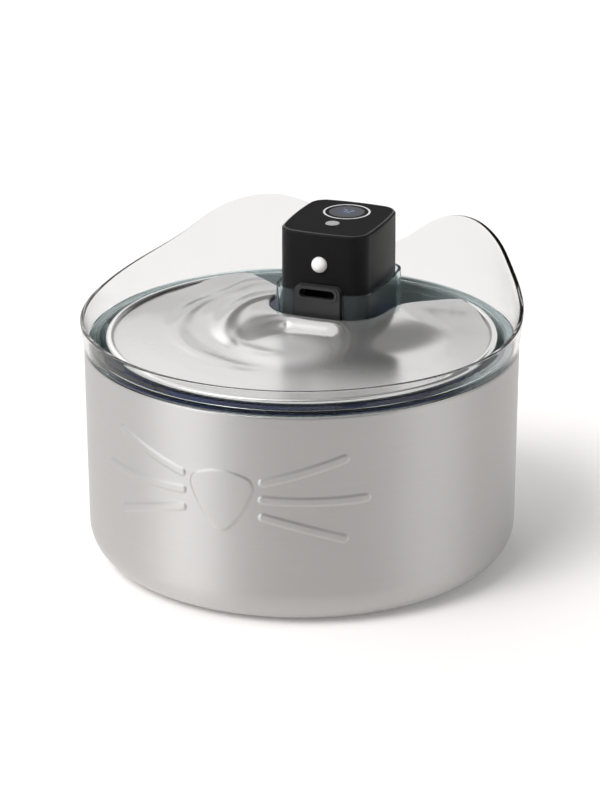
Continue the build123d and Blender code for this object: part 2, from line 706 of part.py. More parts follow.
# --- Top panel, display and button --------------------------------------------------------
with BuildPart() as top_panel:
    with BuildSketch(column_plane(PANEL_BOTTOM)):
        add(housing_outline(PANEL_RIM + FIT))
        with Locations((0, DISPLAY_Y - COLUMN_Y)):
            Circle(WINDOW_RADIUS - WINDOW_LEDGE, mode=Mode.SUBTRACT)
        with Locations((0, BUTTON_Y - COLUMN_Y)):
            Circle(BUTTON_RADIUS + BUTTON_GAP, mode=Mode.SUBTRACT)
    extrude(amount=PANEL_THICK)
    with BuildSketch(column_plane(PANEL_BOTTOM)):
        with GridLocations(2 * POST_X, 2 * POST_Y, 2, 2):
            Circle(POST_RADIUS)
    extrude(amount=DISPLAY_BOARD_Z + BOARD_THICK - PANEL_BOTTOM)
    with BuildSketch(column_plane(HOUSING_TOP, DISPLAY_Y)):
        Circle(WINDOW_RADIUS + FIT)
    extrude(amount=-WINDOW_THICK, mode=Mode.SUBTRACT)
    with BuildSketch(column_plane(HOUSING_TOP, DISPLAY_Y)):
        Circle(RING_OUTER + FIT)
        Circle(RING_INNER - FIT, mode=Mode.SUBTRACT)
    extrude(amount=-RING_DEPTH, mode=Mode.SUBTRACT)
finish(top_panel.part, "top_panel")

with BuildPart() as display_window:
    with BuildSketch(column_plane(HOUSING_TOP, DISPLAY_Y)):
        Circle(WINDOW_RADIUS)
    extrude(amount=-WINDOW_THICK)
finish(display_window.part, "display_window")

with BuildPart() as display_ring:
    with BuildSketch(column_plane(HOUSING_TOP, DISPLAY_Y)):
        Circle(RING_OUTER)
        Circle(RING_INNER, mode=Mode.SUBTRACT)
    extrude(amount=-RING_DEPTH)
finish(display_ring.part, "display_ring")

BOARD_TOP = DISPLAY_BOARD_Z + BOARD_THICK

with BuildPart() as display_board:
    with BuildSketch(column_plane(DISPLAY_BOARD_Z, DISPLAY_BOARD_Y)):
        RectangleRounded(*DISPLAY_BOARD, radius=DISPLAY_BOARD_CORNER)
    extrude(amount=BOARD_THICK)
finish(display_board.part, "display_board")

with BuildPart() as display_module:
    with BuildSketch(column_plane(BOARD_TOP, DISPLAY_Y)):
        RectangleRounded(MODULE_SIDE, MODULE_SIDE, radius=POST_RADIUS)
    extrude(amount=PANEL_BOTTOM - BOARD_TOP)
    with BuildSketch(column_plane(PANEL_BOTTOM, DISPLAY_Y)):
        Circle(WINDOW_RADIUS - WINDOW_LEDGE - BUTTON_GAP)
    extrude(amount=PANEL_THICK - WINDOW_THICK)
finish(display_module.part, "display_module")

with BuildPart() as button_switch:
    with BuildSketch(column_plane(BOARD_TOP, BUTTON_Y)):
        RectangleRounded(SWITCH_SIZE[0], SWITCH_SIZE[1], radius=SWITCH_CORNER)
    extrude(amount=SWITCH_SIZE[2])
    with BuildSketch(column_plane(BOARD_TOP + SWITCH_SIZE[2], BUTTON_Y)):
        Circle(BUTTON_STEM)
    extrude(amount=SWITCH_PLUNGER)
finish(button_switch.part, "button_switch")

with BuildPart() as mode_button:
    with BuildSketch(column_plane(PANEL_BOTTOM, BUTTON_Y)):
        Circle(BUTTON_RADIUS)
    extrude(amount=PANEL_THICK + BUTTON_PROUD)
    fillet(mode_button.edges().group_by(Axis.Z)[-1], radius=BUTTON_PROUD)
    with BuildSketch(column_plane(PANEL_BOTTOM, BUTTON_Y)):
        Circle(BUTTON_FLANGE)
    extrude(amount=-BUTTON_FLANGE_THICK)
    with BuildSketch(column_plane(PANEL_BOTTOM - BUTTON_FLANGE_THICK, BUTTON_Y)):
        Circle(BUTTON_STEM)
    extrude(amount=BUTTON_STEM_END + BUTTON_FLANGE_THICK - PANEL_BOTTOM)
finish(mode_button.part, "mode_button")

# --- Motion sensor ------------------------------------------------------------------------
LENS_AXIS = Axis((0, 0, LENS_Z), (0, 1, 0))
LENS_SEAT = HOUSING_FRONT + HOUSING_WALL + LENS_SEAT_GAP
LENS_BORE = LENS_RADIUS - LENS_WALL

with BuildPart() as pir_lens:
    with BuildSketch(Plane.YZ):
        with BuildLine():
            RadiusArc(
                (HOUSING_FRONT - LENS_RADIUS, LENS_Z),
                (HOUSING_FRONT, LENS_Z + LENS_RADIUS),
                LENS_RADIUS,
            )
            Polyline(
                (HOUSING_FRONT, LENS_Z + LENS_RADIUS),
                (LENS_SEAT, LENS_Z + LENS_RADIUS),
                (LENS_SEAT, LENS_Z + LENS_FLANGE),
                (LENS_SEAT + LENS_FLANGE_THICK, LENS_Z + LENS_FLANGE),
                (LENS_SEAT + LENS_FLANGE_THICK, LENS_Z + LENS_BORE),
                (HOUSING_FRONT, LENS_Z + LENS_BORE),
            )
            RadiusArc(
                (HOUSING_FRONT, LENS_Z + LENS_BORE),
                (HOUSING_FRONT - LENS_BORE, LENS_Z),
                -LENS_BORE,
            )
            Line((HOUSING_FRONT - LENS_BORE, LENS_Z), (HOUSING_FRONT - LENS_RADIUS, LENS_Z))
        make_face()
    revolve(axis=LENS_AXIS)
finish(pir_lens.part, "pir_lens")

SENSOR_FRONT = LENS_SEAT + LENS_FLANGE_THICK + LENS_SEAT_GAP

with BuildPart() as pir_sensor:
    with BuildSketch(Plane.XZ.offset(-SENSOR_FRONT)):
        with Locations((0, LENS_Z)):
            Circle(SENSOR_RADIUS)
    extrude(amount=-SENSOR_DEPTH)
    fillet(pir_sensor.edges().group_by(Axis.Y)[0], radius=SENSOR_ROUND)
    with BuildSketch(Plane.XZ.offset(-SENSOR_FRONT - SENSOR_DEPTH)):
        with Locations((0, LENS_Z)):
            with PolarLocations(SENSOR_PIN_CIRCLE, SENSOR_PINS):
                Circle(SENSOR_PIN_RADIUS)
    extrude(amount=SENSOR_FRONT + SENSOR_DEPTH - CONTROL_BOARD_Y)
finish(pir_sensor.part, "pir_sensor")

# --- Spout and riser ----------------------------------------------------------------------
with BuildPart() as spout_nozzle:
    with BuildSketch(Plane.XZ.offset(-SPOUT_FRONT)):
        with Locations((0, (SPOUT_LOW + SPOUT_TOP) / 2)):
            RectangleRounded(2 * SPOUT_HALF, SPOUT_TOP - SPOUT_LOW, radius=SPOUT_CORNER)
    extrude(amount=SPOUT_FRONT - HOUSING_FRONT - SIDE_BOW)
    with BuildSketch(column_plane(SPOUT_LOW)):
        add(housing_outline(-FIT))
    extrude(amount=SPOUT_TOP, mode=Mode.SUBTRACT)
    with BuildSketch(Plane.XZ.offset(-SPOUT_FRONT)):
        with Locations((0, SLOT_Z)):
            RectangleRounded(
                2 * (SLOT_HALF + SLOT_FRAME), SLOT_HEIGHT + 2 * SLOT_FRAME, radius=SPOUT_CORNER - FIT
            )
    extrude(amount=SLOT_FRAME_PROUD)
    with BuildSketch(Plane.XZ.offset(-SPOUT_FRONT - HOUSING_WALL)):
        with Locations((0, (SPOUT_CHAMBER_LOW + SPOUT_CHAMBER_TOP) / 2)):
            Rectangle(2 * SPOUT_CHAMBER_HALF, SPOUT_CHAMBER_TOP - SPOUT_CHAMBER_LOW)
    extrude(amount=SPOUT_FRONT + HOUSING_WALL - SPOUT_REAR)
    with BuildSketch(Plane.XY.offset(SPOUT_CHAMBER_LOW)):
        with Locations((0, RISER_Y)):
            Circle(RISER_BORE - FIT)
    extrude(amount=-NIPPLE_REACH)
    with BuildSketch(Plane.XZ.offset(-SPOUT_FRONT + SLOT_FRAME_PROUD)):
        with Locations((0, SLOT_Z)):
            RectangleRounded(2 * SLOT_HALF, SLOT_HEIGHT, radius=SLOT_CORNER)
    extrude(amount=-SLOT_DEPTH, mode=Mode.SUBTRACT)
    with BuildSketch(Plane.XZ.offset(-SPOUT_FRONT - HOUSING_WALL)):
        with Locations((0, (SPOUT_CHAMBER_LOW + SPOUT_CHAMBER_TOP) / 2)):
            Rectangle(
                2 * (SPOUT_CHAMBER_HALF - SPOUT_CHAMBER_WALL),
                SPOUT_CHAMBER_TOP - SPOUT_CHAMBER_LOW - 2 * SPOUT_CHAMBER_WALL,
            )
    extrude(amount=SPOUT_FRONT + HOUSING_WALL + SPOUT_CHAMBER_WALL - SPOUT_REAR, mode=Mode.SUBTRACT)
    with BuildSketch(Plane.XY.offset(SPOUT_CHAMBER_LOW - NIPPLE_REACH)):
        with Locations((0, RISER_Y)):
            Circle(NIPPLE_BORE)
    extrude(amount=NIPPLE_REACH + SPOUT_CHAMBER_WALL, mode=Mode.SUBTRACT)
finish(spout_nozzle.part, "spout_nozzle")

with BuildPart() as riser_tube:
    with BuildSketch(Plane.XY.offset(STEM_FLOOR_TOP)):
        with Locations((0, RISER_Y)):
            Circle(RISER_RADIUS)
            Circle(RISER_BORE, mode=Mode.SUBTRACT)
    extrude(amount=SPOUT_CHAMBER_LOW - STEM_FLOOR_TOP)
finish(riser_tube.part, "riser_tube")

# --- Cells, holder and boards -------------------------------------------------------------
with BuildPart() as battery_cells:
    with BuildSketch(column_plane(CELL_BOTTOM, CELL_Y)):
        with GridLocations(2 * CELL_X, 0, 2, 1):
            Circle(CELL_RADIUS)
    extrude(amount=CELL_LENGTH)
    fillet(battery_cells.edges().filter_by(GeomType.CIRCLE), radius=CELL_ROUND)
    with BuildSketch(column_plane(CELL_BOTTOM + CELL_LENGTH, CELL_Y)):
        with GridLocations(2 * CELL_X, 0, 2, 1):
            Circle(CELL_NUB[0])
    extrude(amount=CELL_NUB[1])
finish(battery_cells.part, "battery_cells")

HOLDER_TOP = CELL_BOTTOM + CELL_LENGTH + CELL_NUB[1] + HOLDER_SHELF
HOLDER_DEPTH = HOLDER_SHELF_END - HOLDER_BACK_Y

with BuildPart() as battery_holder:
    with BuildSketch(Plane.XY.offset(HOLDER_LOW)):
        with Locations((0, HOLDER_BACK_Y + HOLDER_DEPTH / 2)):
            Rectangle(HOLDER_WIDTH, HOLDER_DEPTH)
    extrude(amount=HOLDER_TOP - HOLDER_LOW)
    with BuildSketch(Plane.XY.offset(CELL_BOTTOM)):
        with Locations((0, HOLDER_BACK_Y + HOLDER_THICK + HOLDER_DEPTH / 2)):
            Rectangle(HOLDER_WIDTH, HOLDER_DEPTH)
    extrude(amount=CELL_LENGTH + CELL_NUB[1], mode=Mode.SUBTRACT)
finish(battery_holder.part, "battery_holder")

with BuildPart() as control_board:
    with BuildSketch(Plane.XZ.offset(-CONTROL_BOARD_Y)):
        with Locations((0, CONTROL_BOARD_LOW + CONTROL_BOARD[1] / 2)):
            Rectangle(*CONTROL_BOARD)
    extrude(amount=CONTROL_BOARD_Y - HOLDER_BACK_Y)
    with BuildSketch(Plane.XZ.offset(-CONTROL_BOARD_Y)):
        for chip_x, chip_z, chip_width, chip_height in CHIPS:
            with Locations((chip_x, chip_z)):
                Rectangle(chip_width, chip_height)
    extrude(amount=CHIP_THICK)
finish(control_board.part, "control_board")

# --- Charging socket and its flap ---------------------------------------------------------
with BuildPart() as charging_socket:
    with BuildSketch(Plane.XZ.offset(-PORT_FRONT)):
        with Locations((0, PORT_Z)):
            SlotOverall(PORT_SIZE[0], PORT_SIZE[2])
            SlotOverall(PORT_SIZE[0] - 2 * PORT_GAP, PORT_SIZE[2] - 2 * PORT_GAP, mode=Mode.SUBTRACT)
            Rectangle(*PORT_TONGUE)
    extrude(amount=PORT_SIZE[1])
    with BuildSketch(Plane.XZ.offset(-PORT_FRONT + PORT_SIZE[1])):
        with Locations((0, PORT_Z)):
            SlotOverall(PORT_SIZE[0], PORT_SIZE[2])
    extrude(amount=PORT_GAP)
finish(charging_socket.part, "charging_socket")

FLAP_BARREL = PLUG_SIZE[1] / 2
FLAP_AXIS_Z = PORT_Z - PLUG_SIZE[2] / 2 + FLAP_BARREL

with BuildPart() as port_plug:
    with BuildSketch(Plane.XZ.offset(-PLUG_SEAT_Y - PLUG_GAP)) as flap:
        with Locations((0, FLAP_AXIS_Z)):
            Rectangle(PLUG_SIZE[0], PLUG_SIZE[2] - FLAP_BARREL, align=(Align.CENTER, Align.MIN))
        fillet(flap.vertices().group_by(Axis.Y)[-1], radius=PLUG_CORNER)
    extrude(amount=-PLUG_SIZE[1])
    with BuildSketch(Plane.YZ):
        with Locations((PLUG_SEAT_Y + PLUG_GAP + FLAP_BARREL, FLAP_AXIS_Z)):
            Circle(FLAP_BARREL)
    extrude(amount=PLUG_SIZE[0] / 2, both=True)
    with BuildSketch(Plane.XZ.offset(-PLUG_SEAT_Y - PLUG_GAP)):
        with Locations((0, PORT_Z)):
            SlotOverall(PLUG_TONGUE[0], PLUG_TONGUE[2])
    extrude(amount=PLUG_TONGUE[1])
finish(port_plug.part, "port_plug")

# --- Stator -------------------------------------------------------------------------------
COIL_MIDDLE = (STATOR_INNER + STATOR_OUTER - STATOR_RIM) / 2

with BuildPart() as stator_core:
    with BuildSketch(column_plane(STATOR_Z[0], PUMP_Y)):
        Circle(STATOR_OUTER)
        Circle(STATOR_OUTER - STATOR_RIM, mode=Mode.SUBTRACT)
        with PolarLocations((STATOR_INNER + STATOR_OUTER - STATOR_RIM / 2) / 2, POLE_COUNT):
            Rectangle(STATOR_OUTER - STATOR_RIM / 2 - STATOR_INNER, STATOR_POLE)
    extrude(amount=STATOR_Z[1] - STATOR_Z[0])
finish(stator_core.part, "stator_core")

with BuildPart() as stator_coils:
    with BuildSketch(column_plane(STEM_FLOOR_TOP, PUMP_Y)):
        with PolarLocations(COIL_MIDDLE, POLE_COUNT):
            Rectangle(COIL_SIZE[0], COIL_SIZE[1])
    extrude(amount=COIL_SIZE[2])
    with BuildSketch(column_plane(STATOR_Z[0], PUMP_Y)):
        with PolarLocations(COIL_MIDDLE, POLE_COUNT):
            Rectangle(COIL_SIZE[0], STATOR_POLE)
    extrude(amount=STATOR_Z[1] - STATOR_Z[0], mode=Mode.SUBTRACT)
finish(stator_coils.part, "stator_coils")

# --- Impeller -----------------------------------------------------------------------------
with BuildPart() as impeller_shaft:
    with BuildSketch(column_plane(SHAFT_BOTTOM, PUMP_Y)):
        Circle(SHAFT_RADIUS)
    extrude(amount=WELL_TOP - WELL_WALL - SHAFT_BOTTOM)
finish(impeller_shaft.part, "impeller_shaft")

with BuildPart() as shaft_bushes:
    for bush_bottom in (BASE_BOTTOM, WELL_TOP - WELL_WALL - BUSH_HEIGHT):
        with BuildSketch(column_plane(bush_bottom, PUMP_Y)):
            Circle(BUSH_RADIUS)
            Circle(SHAFT_RADIUS, mode=Mode.SUBTRACT)
        extrude(amount=BUSH_HEIGHT)
finish(shaft_bushes.part, "shaft_bushes")

with BuildPart() as impeller_wheel:
    with BuildSketch(column_plane(DISC_BOTTOM, PUMP_Y)):
        Circle(WHEEL_RADIUS)
    extrude(amount=DISC_THICK)
    with BuildSketch(column_plane(DISC_BOTTOM, PUMP_Y)):
        with PolarLocations(WHEEL_RADIUS - BLADE[0] / 2, BLADE_COUNT):
            Rectangle(*BLADE)
    extrude(amount=BLADE_BOTTOM - DISC_BOTTOM)
    with BuildSketch(column_plane(HUB_BOTTOM, PUMP_Y)):
        Circle(BUSH_RADIUS)
    extrude(amount=MAGNET_TOP - HUB_BOTTOM)
    with BuildSketch(column_plane(HUB_BOTTOM, PUMP_Y)):
        Circle(SHAFT_BORE)
    extrude(amount=MAGNET_TOP - HUB_BOTTOM, mode=Mode.SUBTRACT)
finish(impeller_wheel.part, "impeller_wheel")

with BuildPart() as rotor_magnet:
    with BuildSketch(column_plane(DISC_BOTTOM + DISC_THICK, PUMP_Y)):
        Circle(MAGNET_RADIUS)
        Circle(BUSH_RADIUS, mode=Mode.SUBTRACT)
    extrude(amount=MAGNET_TOP - DISC_BOTTOM - DISC_THICK)
finish(rotor_magnet.part, "rotor_magnet")

# --- Pump base ----------------------------------------------------------------------------
with BuildPart() as pump_base:
    with BuildSketch(column_plane(BASE_BOTTOM)):
        add(stem_outline())
    extrude(amount=STEM_BOTTOM - BASE_BOTTOM)
    with BuildSketch(column_plane(BASE_BOTTOM)):
        Circle(BOSS_RADIUS)
    extrude(amount=BOSS_BOTTOM - BASE_BOTTOM)
    with BuildSketch(column_plane(LUG_HEIGHTS[0])):
        with PolarLocations(BOSS_RADIUS, LUG_COUNT):
            Rectangle(2 * LUG_REACH, LUG_WIDTH)
    extrude(amount=LUG_HEIGHTS[1] - LUG_HEIGHTS[0])
    with BuildSketch(column_plane(CHAMBER_BOTTOM, PUMP_Y)):
        Circle(CHAMBER_RADIUS)
    extrude(amount=STEM_BOTTOM - CHAMBER_BOTTOM, mode=Mode.SUBTRACT)
    with BuildSketch(column_plane(BOSS_BOTTOM, PUMP_Y)):
        Circle(INLET_RADIUS)
    extrude(amount=CHAMBER_BOTTOM - BOSS_BOTTOM, mode=Mode.SUBTRACT)
    with BuildSketch(column_plane(BOSS_BOTTOM, PUMP_Y)):
        Circle(BUSH_RADIUS)
    extrude(amount=BASE_BOTTOM - BOSS_BOTTOM)
    with BuildSketch(column_plane(BOSS_BOTTOM, PUMP_Y)):
        with PolarLocations((BUSH_RADIUS + INLET_RADIUS) / 2, SPOKE_COUNT):
            Rectangle(INLET_RADIUS - BUSH_RADIUS + SPOKE_WIDTH, SPOKE_WIDTH)
    extrude(amount=SPOKE_HEIGHT)
    with BuildSketch(column_plane(SHAFT_BOTTOM, PUMP_Y)):
        Circle(SHAFT_RADIUS)
    extrude(amount=BASE_BOTTOM - SHAFT_BOTTOM, mode=Mode.SUBTRACT)
    with BuildSketch(Plane.XY.offset(BLADE_BOTTOM)):
        with Locations((0, (RISER_Y + PUMP_Y - CHAMBER_RADIUS + OUTLET_CHANNEL) / 2)):
            Rectangle(OUTLET_CHANNEL, PUMP_Y - CHAMBER_RADIUS + OUTLET_CHANNEL - RISER_Y)
        with Locations((0, RISER_Y)):
            Circle(OUTLET_CHANNEL / 2)
    extrude(amount=OUTLET_CHANNEL, mode=Mode.SUBTRACT)
    with BuildSketch(Plane.XY.offset(BLADE_BOTTOM)):
        with Locations((0, RISER_Y)):
            Circle(RISER_BORE)
    extrude(amount=STEM_BOTTOM - BLADE_BOTTOM, mode=Mode.SUBTRACT)
    with BuildSketch(column_plane(BASE_BOTTOM)):
        with GridLocations(2 * SCREW_X, 2 * SCREW_Y, 2, 2):
            Circle(SCREW_RADIUS + SCREW_GAP)
    extrude(amount=STEM_BOTTOM - BASE_BOTTOM, mode=Mode.SUBTRACT)
    with BuildSketch(column_plane(BASE_BOTTOM)):
        with GridLocations(2 * SCREW_X, 2 * SCREW_Y, 2, 2):
            Circle(SCREW_HEAD[0] + SCREW_GAP)
    extrude(amount=SCREW_HEAD[1], mode=Mode.SUBTRACT)
finish(pump_base.part, "pump_base")

with BuildPart() as pump_screws:
    with BuildSketch(column_plane(BASE_BOTTOM)):
        with GridLocations(2 * SCREW_X, 2 * SCREW_Y, 2, 2):
            Circle(SCREW_HEAD[0])
    extrude(amount=SCREW_HEAD[1])
    with BuildSketch(column_plane(BASE_BOTTOM)):
        with GridLocations(2 * SCREW_X, 2 * SCREW_Y, 2, 2):
            Circle(SCREW_RADIUS)
    extrude(amount=SCREW_END - BASE_BOTTOM)
    with BuildSketch(column_plane(BASE_BOTTOM)):
        with GridLocations(2 * SCREW_X, 2 * SCREW_Y, 2, 2):
            Rectangle(*SCREW_CROSS)
            Rectangle(*SCREW_CROSS, rotation=90)
    extrude(amount=SCREW_HEAD[1] / 2, mode=Mode.SUBTRACT)
finish(pump_screws.part, "pump_screws")

# --- Inlet cover --------------------------------------------------------------------------
COVER_TOP = BASE_BOTTOM - COVER_HEADROOM
COVER_BORE = COVER_RADIUS - COVER_WALL

with BuildPart() as inlet_cover:
    with BuildSketch(column_plane(COVER_BOTTOM)):
        Circle(COVER_RADIUS)
    extrude(amount=COVER_TOP - COVER_BOTTOM)
    chamfer(inlet_cover.edges().group_by(Axis.Z)[0], length=COVER_FLOOR / 2)
    with BuildSketch(column_plane(COVER_BOTTOM + COVER_FLOOR)):
        Circle(COVER_BORE)
    extrude(amount=COVER_TOP, mode=Mode.SUBTRACT)
    with BuildSketch(column_plane(COVER_GROOVE[0])):
        Circle(COVER_BORE + COVER_GROOVE_DEPTH)
    extrude(amount=COVER_GROOVE[1] - COVER_GROOVE[0], mode=Mode.SUBTRACT)
    with BuildSketch(column_plane(COVER_GROOVE[0])):
        with PolarLocations(BOSS_RADIUS, LUG_COUNT, start_angle=-LUG_TURN):
            Rectangle(2 * (LUG_REACH + COVER_GAP), LUG_WIDTH + 2 * COVER_GAP)
    extrude(amount=COVER_TOP, mode=Mode.SUBTRACT)
    with BuildSketch(column_plane(COVER_BOTTOM + COVER_FLOOR + COVER_GAP)):
        with PolarLocations(COVER_RADIUS - COVER_WALL / 2, COVER_SLOTS):
            Rectangle(2 * COVER_WALL, COVER_SLOT[0])
    extrude(amount=COVER_SLOT[1], mode=Mode.SUBTRACT)
finish(inlet_cover.part, "inlet_cover")

with BuildPart() as inlet_sponge:
    with BuildSketch(column_plane(COVER_BOTTOM + COVER_FLOOR)):
        Circle(COVER_BORE - COVER_GAP)
    extrude(amount=BOSS_BOTTOM - COVER_GAP - COVER_BOTTOM - COVER_FLOOR)
finish(inlet_sponge.part, "inlet_sponge")
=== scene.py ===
import math

import bpy
import numpy as np
from mathutils import Matrix, Vector, geometry
from mathutils.bvhtree import BVHTree


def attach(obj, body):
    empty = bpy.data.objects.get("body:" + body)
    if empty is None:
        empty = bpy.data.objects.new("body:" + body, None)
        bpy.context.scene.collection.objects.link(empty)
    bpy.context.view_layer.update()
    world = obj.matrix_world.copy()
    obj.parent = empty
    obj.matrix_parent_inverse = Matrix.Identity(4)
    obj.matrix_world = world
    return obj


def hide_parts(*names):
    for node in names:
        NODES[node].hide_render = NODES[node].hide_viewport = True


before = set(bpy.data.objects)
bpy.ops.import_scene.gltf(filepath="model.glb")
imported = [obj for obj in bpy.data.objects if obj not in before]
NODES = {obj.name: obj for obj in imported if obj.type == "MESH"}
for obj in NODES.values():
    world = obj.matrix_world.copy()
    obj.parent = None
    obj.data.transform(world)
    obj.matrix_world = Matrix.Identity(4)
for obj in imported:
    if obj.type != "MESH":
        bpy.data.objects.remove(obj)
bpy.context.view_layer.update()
MM = 0.001

# Sizes below are in millimetres, as in the part's source, and MM turns them into metres.


# --- Shader expressions ------------------------------------------------------------------------


class Wire:
    """A shader socket that can be used in Python expressions; each operation adds its node."""

    def __init__(self, sheet, socket):
        self.sheet = sheet
        self.socket = socket

    def math(self, operation, *others, clamp=False):
        inputs = {0: self}
        inputs.update({place: other for place, other in enumerate(others, 1)})
        return self.sheet.node(
            "ShaderNodeMath", {"operation": operation, "use_clamp": clamp}, inputs
        )

    def back(self, operation, other):
        return self.sheet.node("ShaderNodeMath", {"operation": operation}, {0: other, 1: self})

    def __add__(self, other):
        return self.math("ADD", other)

    __radd__ = __add__

    def __sub__(self, other):
        return self.math("SUBTRACT", other)

    def __rsub__(self, other):
        return self.back("SUBTRACT", other)

    def __mul__(self, other):
        return self.math("MULTIPLY", other)

    __rmul__ = __mul__

    def __truediv__(self, other):
        return self.math("DIVIDE", other)

    def __rtruediv__(self, other):
        return self.back("DIVIDE", other)

    def __pow__(self, other):
        return self.math("POWER", other)

    def __rpow__(self, other):
        return self.back("POWER", other)

    def sin(self):
        return self.math("SINE")

    def clamp(self):
        return self.math("ADD", 0.0, clamp=True)

    def ramp(self, low, high):
        """Smooth change from 0 at low to 1 at high."""
        return self.sheet.node(
            "ShaderNodeMapRange", {"interpolation_type": "SMOOTHSTEP"}, {0: self, 1: low, 2: high}
        )


RAY_OUTPUTS = {"camera": 0, "shadow": 1, "glossy": 3, "transmission": 6}


class Sheet:
    """A node tree that is filled from Python expressions."""

    def __init__(self, tree):
        self.tree = tree
        tree.nodes.clear()

    def node(self, kind, settings=None, inputs=None, output=0):
        made = self.tree.nodes.new(kind)
        for name, value in (settings or {}).items():
            setattr(made, name, value)
        for key, value in (inputs or {}).items():
            if isinstance(value, Wire):
                self.tree.links.new(value.socket, made.inputs[key])
            else:
                made.inputs[key].default_value = value
        return Wire(self, made.outputs[output])

    def mix(self, factor, first, second):
        return self.node("ShaderNodeMix", {"data_type": "RGBA"}, {0: factor, 6: first, 7: second}, 2)

    def vector(self, operation, first, second=(0.0, 0.0, 0.0), output=0):
        return self.node("ShaderNodeVectorMath", {"operation": operation}, {0: first, 1: second}, output)

    def ray(self, kind):
        return self.node("ShaderNodeLightPath", output=RAY_OUTPUTS[kind])

    def place(self):
        return self.node("ShaderNodeTexCoord", output=3)

    def stretched(self, scale, shift=(0.0, 0.0, 0.0)):
        """Object coordinates, scaled and then moved by shift."""
        return self.node(
            "ShaderNodeMapping",
            {"vector_type": "POINT"},
            {"Vector": self.place(), "Location": shift, "Scale": scale},
        )

    def parts(self, vector):
        made = self.tree.nodes.new("ShaderNodeSeparateXYZ")
        self.tree.links.new(vector.socket, made.inputs[0])
        return [Wire(self, made.outputs[axis]) for axis in range(3)]

    def noise(self, vector, scale, detail=3.0, roughness=0.5):
        return self.node(
            "ShaderNodeTexNoise",
            None,
            {"Vector": vector, "Scale": scale, "Detail": detail, "Roughness": roughness},
        )

    def bump(self, height, distance, strength=1.0, normal=None):
        inputs = {"Height": height, "Distance": distance, "Strength": strength}
        if normal:
            inputs["Normal"] = normal
        return self.node("ShaderNodeBump", None, inputs)


def shade(colour, factor=1.0):
    return tuple(min(1.0, part * factor) for part in colour) + (1.0,)


def from_axis(x, y):
    return (x * x + y * y) ** 0.5


class Finish(Sheet):
    """A material that is built up node by node."""

    def __init__(self, name):
        self.material = bpy.data.materials.new(name)
        self.material.use_nodes = True
        super().__init__(self.material.node_tree)


def output_free(sheet, kind, inputs):
    """A node that has no output, such as the material or world output."""
    made = sheet.tree.nodes.new(kind)
    for key, value in inputs.items():
        sheet.tree.links.new(value.socket, made.inputs[key])


def finished(finish, others=(), **inputs):
    """Ends a finish with its Principled shader, mixes in a share of others and returns the material."""
    named = {name.replace("_", " "): value for name, value in inputs.items()}
    shader = finish.node("ShaderNodeBsdfPrincipled", None, named)
    for share, other in others:
        shader = finish.node("ShaderNodeMixShader", None, {0: share, 1: shader, 2: other})
    output_free(finish, "ShaderNodeOutputMaterial", {0: shader})
    return finish.material


# --- Finishes ----------------------------------------------------------------------------------


def brushed_steel(name, tone, rough, brushing=0.88):
    """Satin stainless steel, brushed round its vertical axis."""
    f = Finish(name)
    lines = f.noise(f.stretched((20.0, 20.0, 2600.0)), 1.0, 3.0, 0.6)
    cloud = f.noise(f.place(), 18.0, 2.0)
    colour = f.mix(lines.ramp(0.3, 0.7), shade(tone, 0.985), shade(tone, 1.015))
    return finished(
        f,
        Base_Color=colour,
        Metallic=1.0,
        Roughness=rough + 0.03 * (lines - 0.5) + 0.02 * (cloud - 0.5),
        Anisotropic=brushing,
        Anisotropic_Rotation=0.25,
        Normal=f.bump(lines, 0.0000015, 0.4),
    )


# Places and distances in the finishes are in metres, as Object coordinates are.
RIPPLE_CENTRE = (-0.005, 0.014, 0.0)
RIPPLE_RATE = 273.0
RIPPLE_START = -3.07
RIPPLE_HEIGHT = 0.0013
# Wake and front zones: rougher and less metallic there, and their lighter tone is painted highlight.
WAKE_HIGHLIGHT_AND_BLUR_CENTRE = (-0.003, -0.017, 0.0)
WAKE_HIGHLIGHT_AND_BLUR_EDGE = (0.034, 0.012)
FRONT_HIGHLIGHT_AND_BLUR = (-0.01, -0.065)
# Radii over which the rolled rim's painted highlight comes in, and the width of the painted shade line at its
# foot.
PAINTED_HIGHLIGHT_RIM = (0.0896, 0.0912)
RIM_SHADE_LINE_WIDTH = 0.001


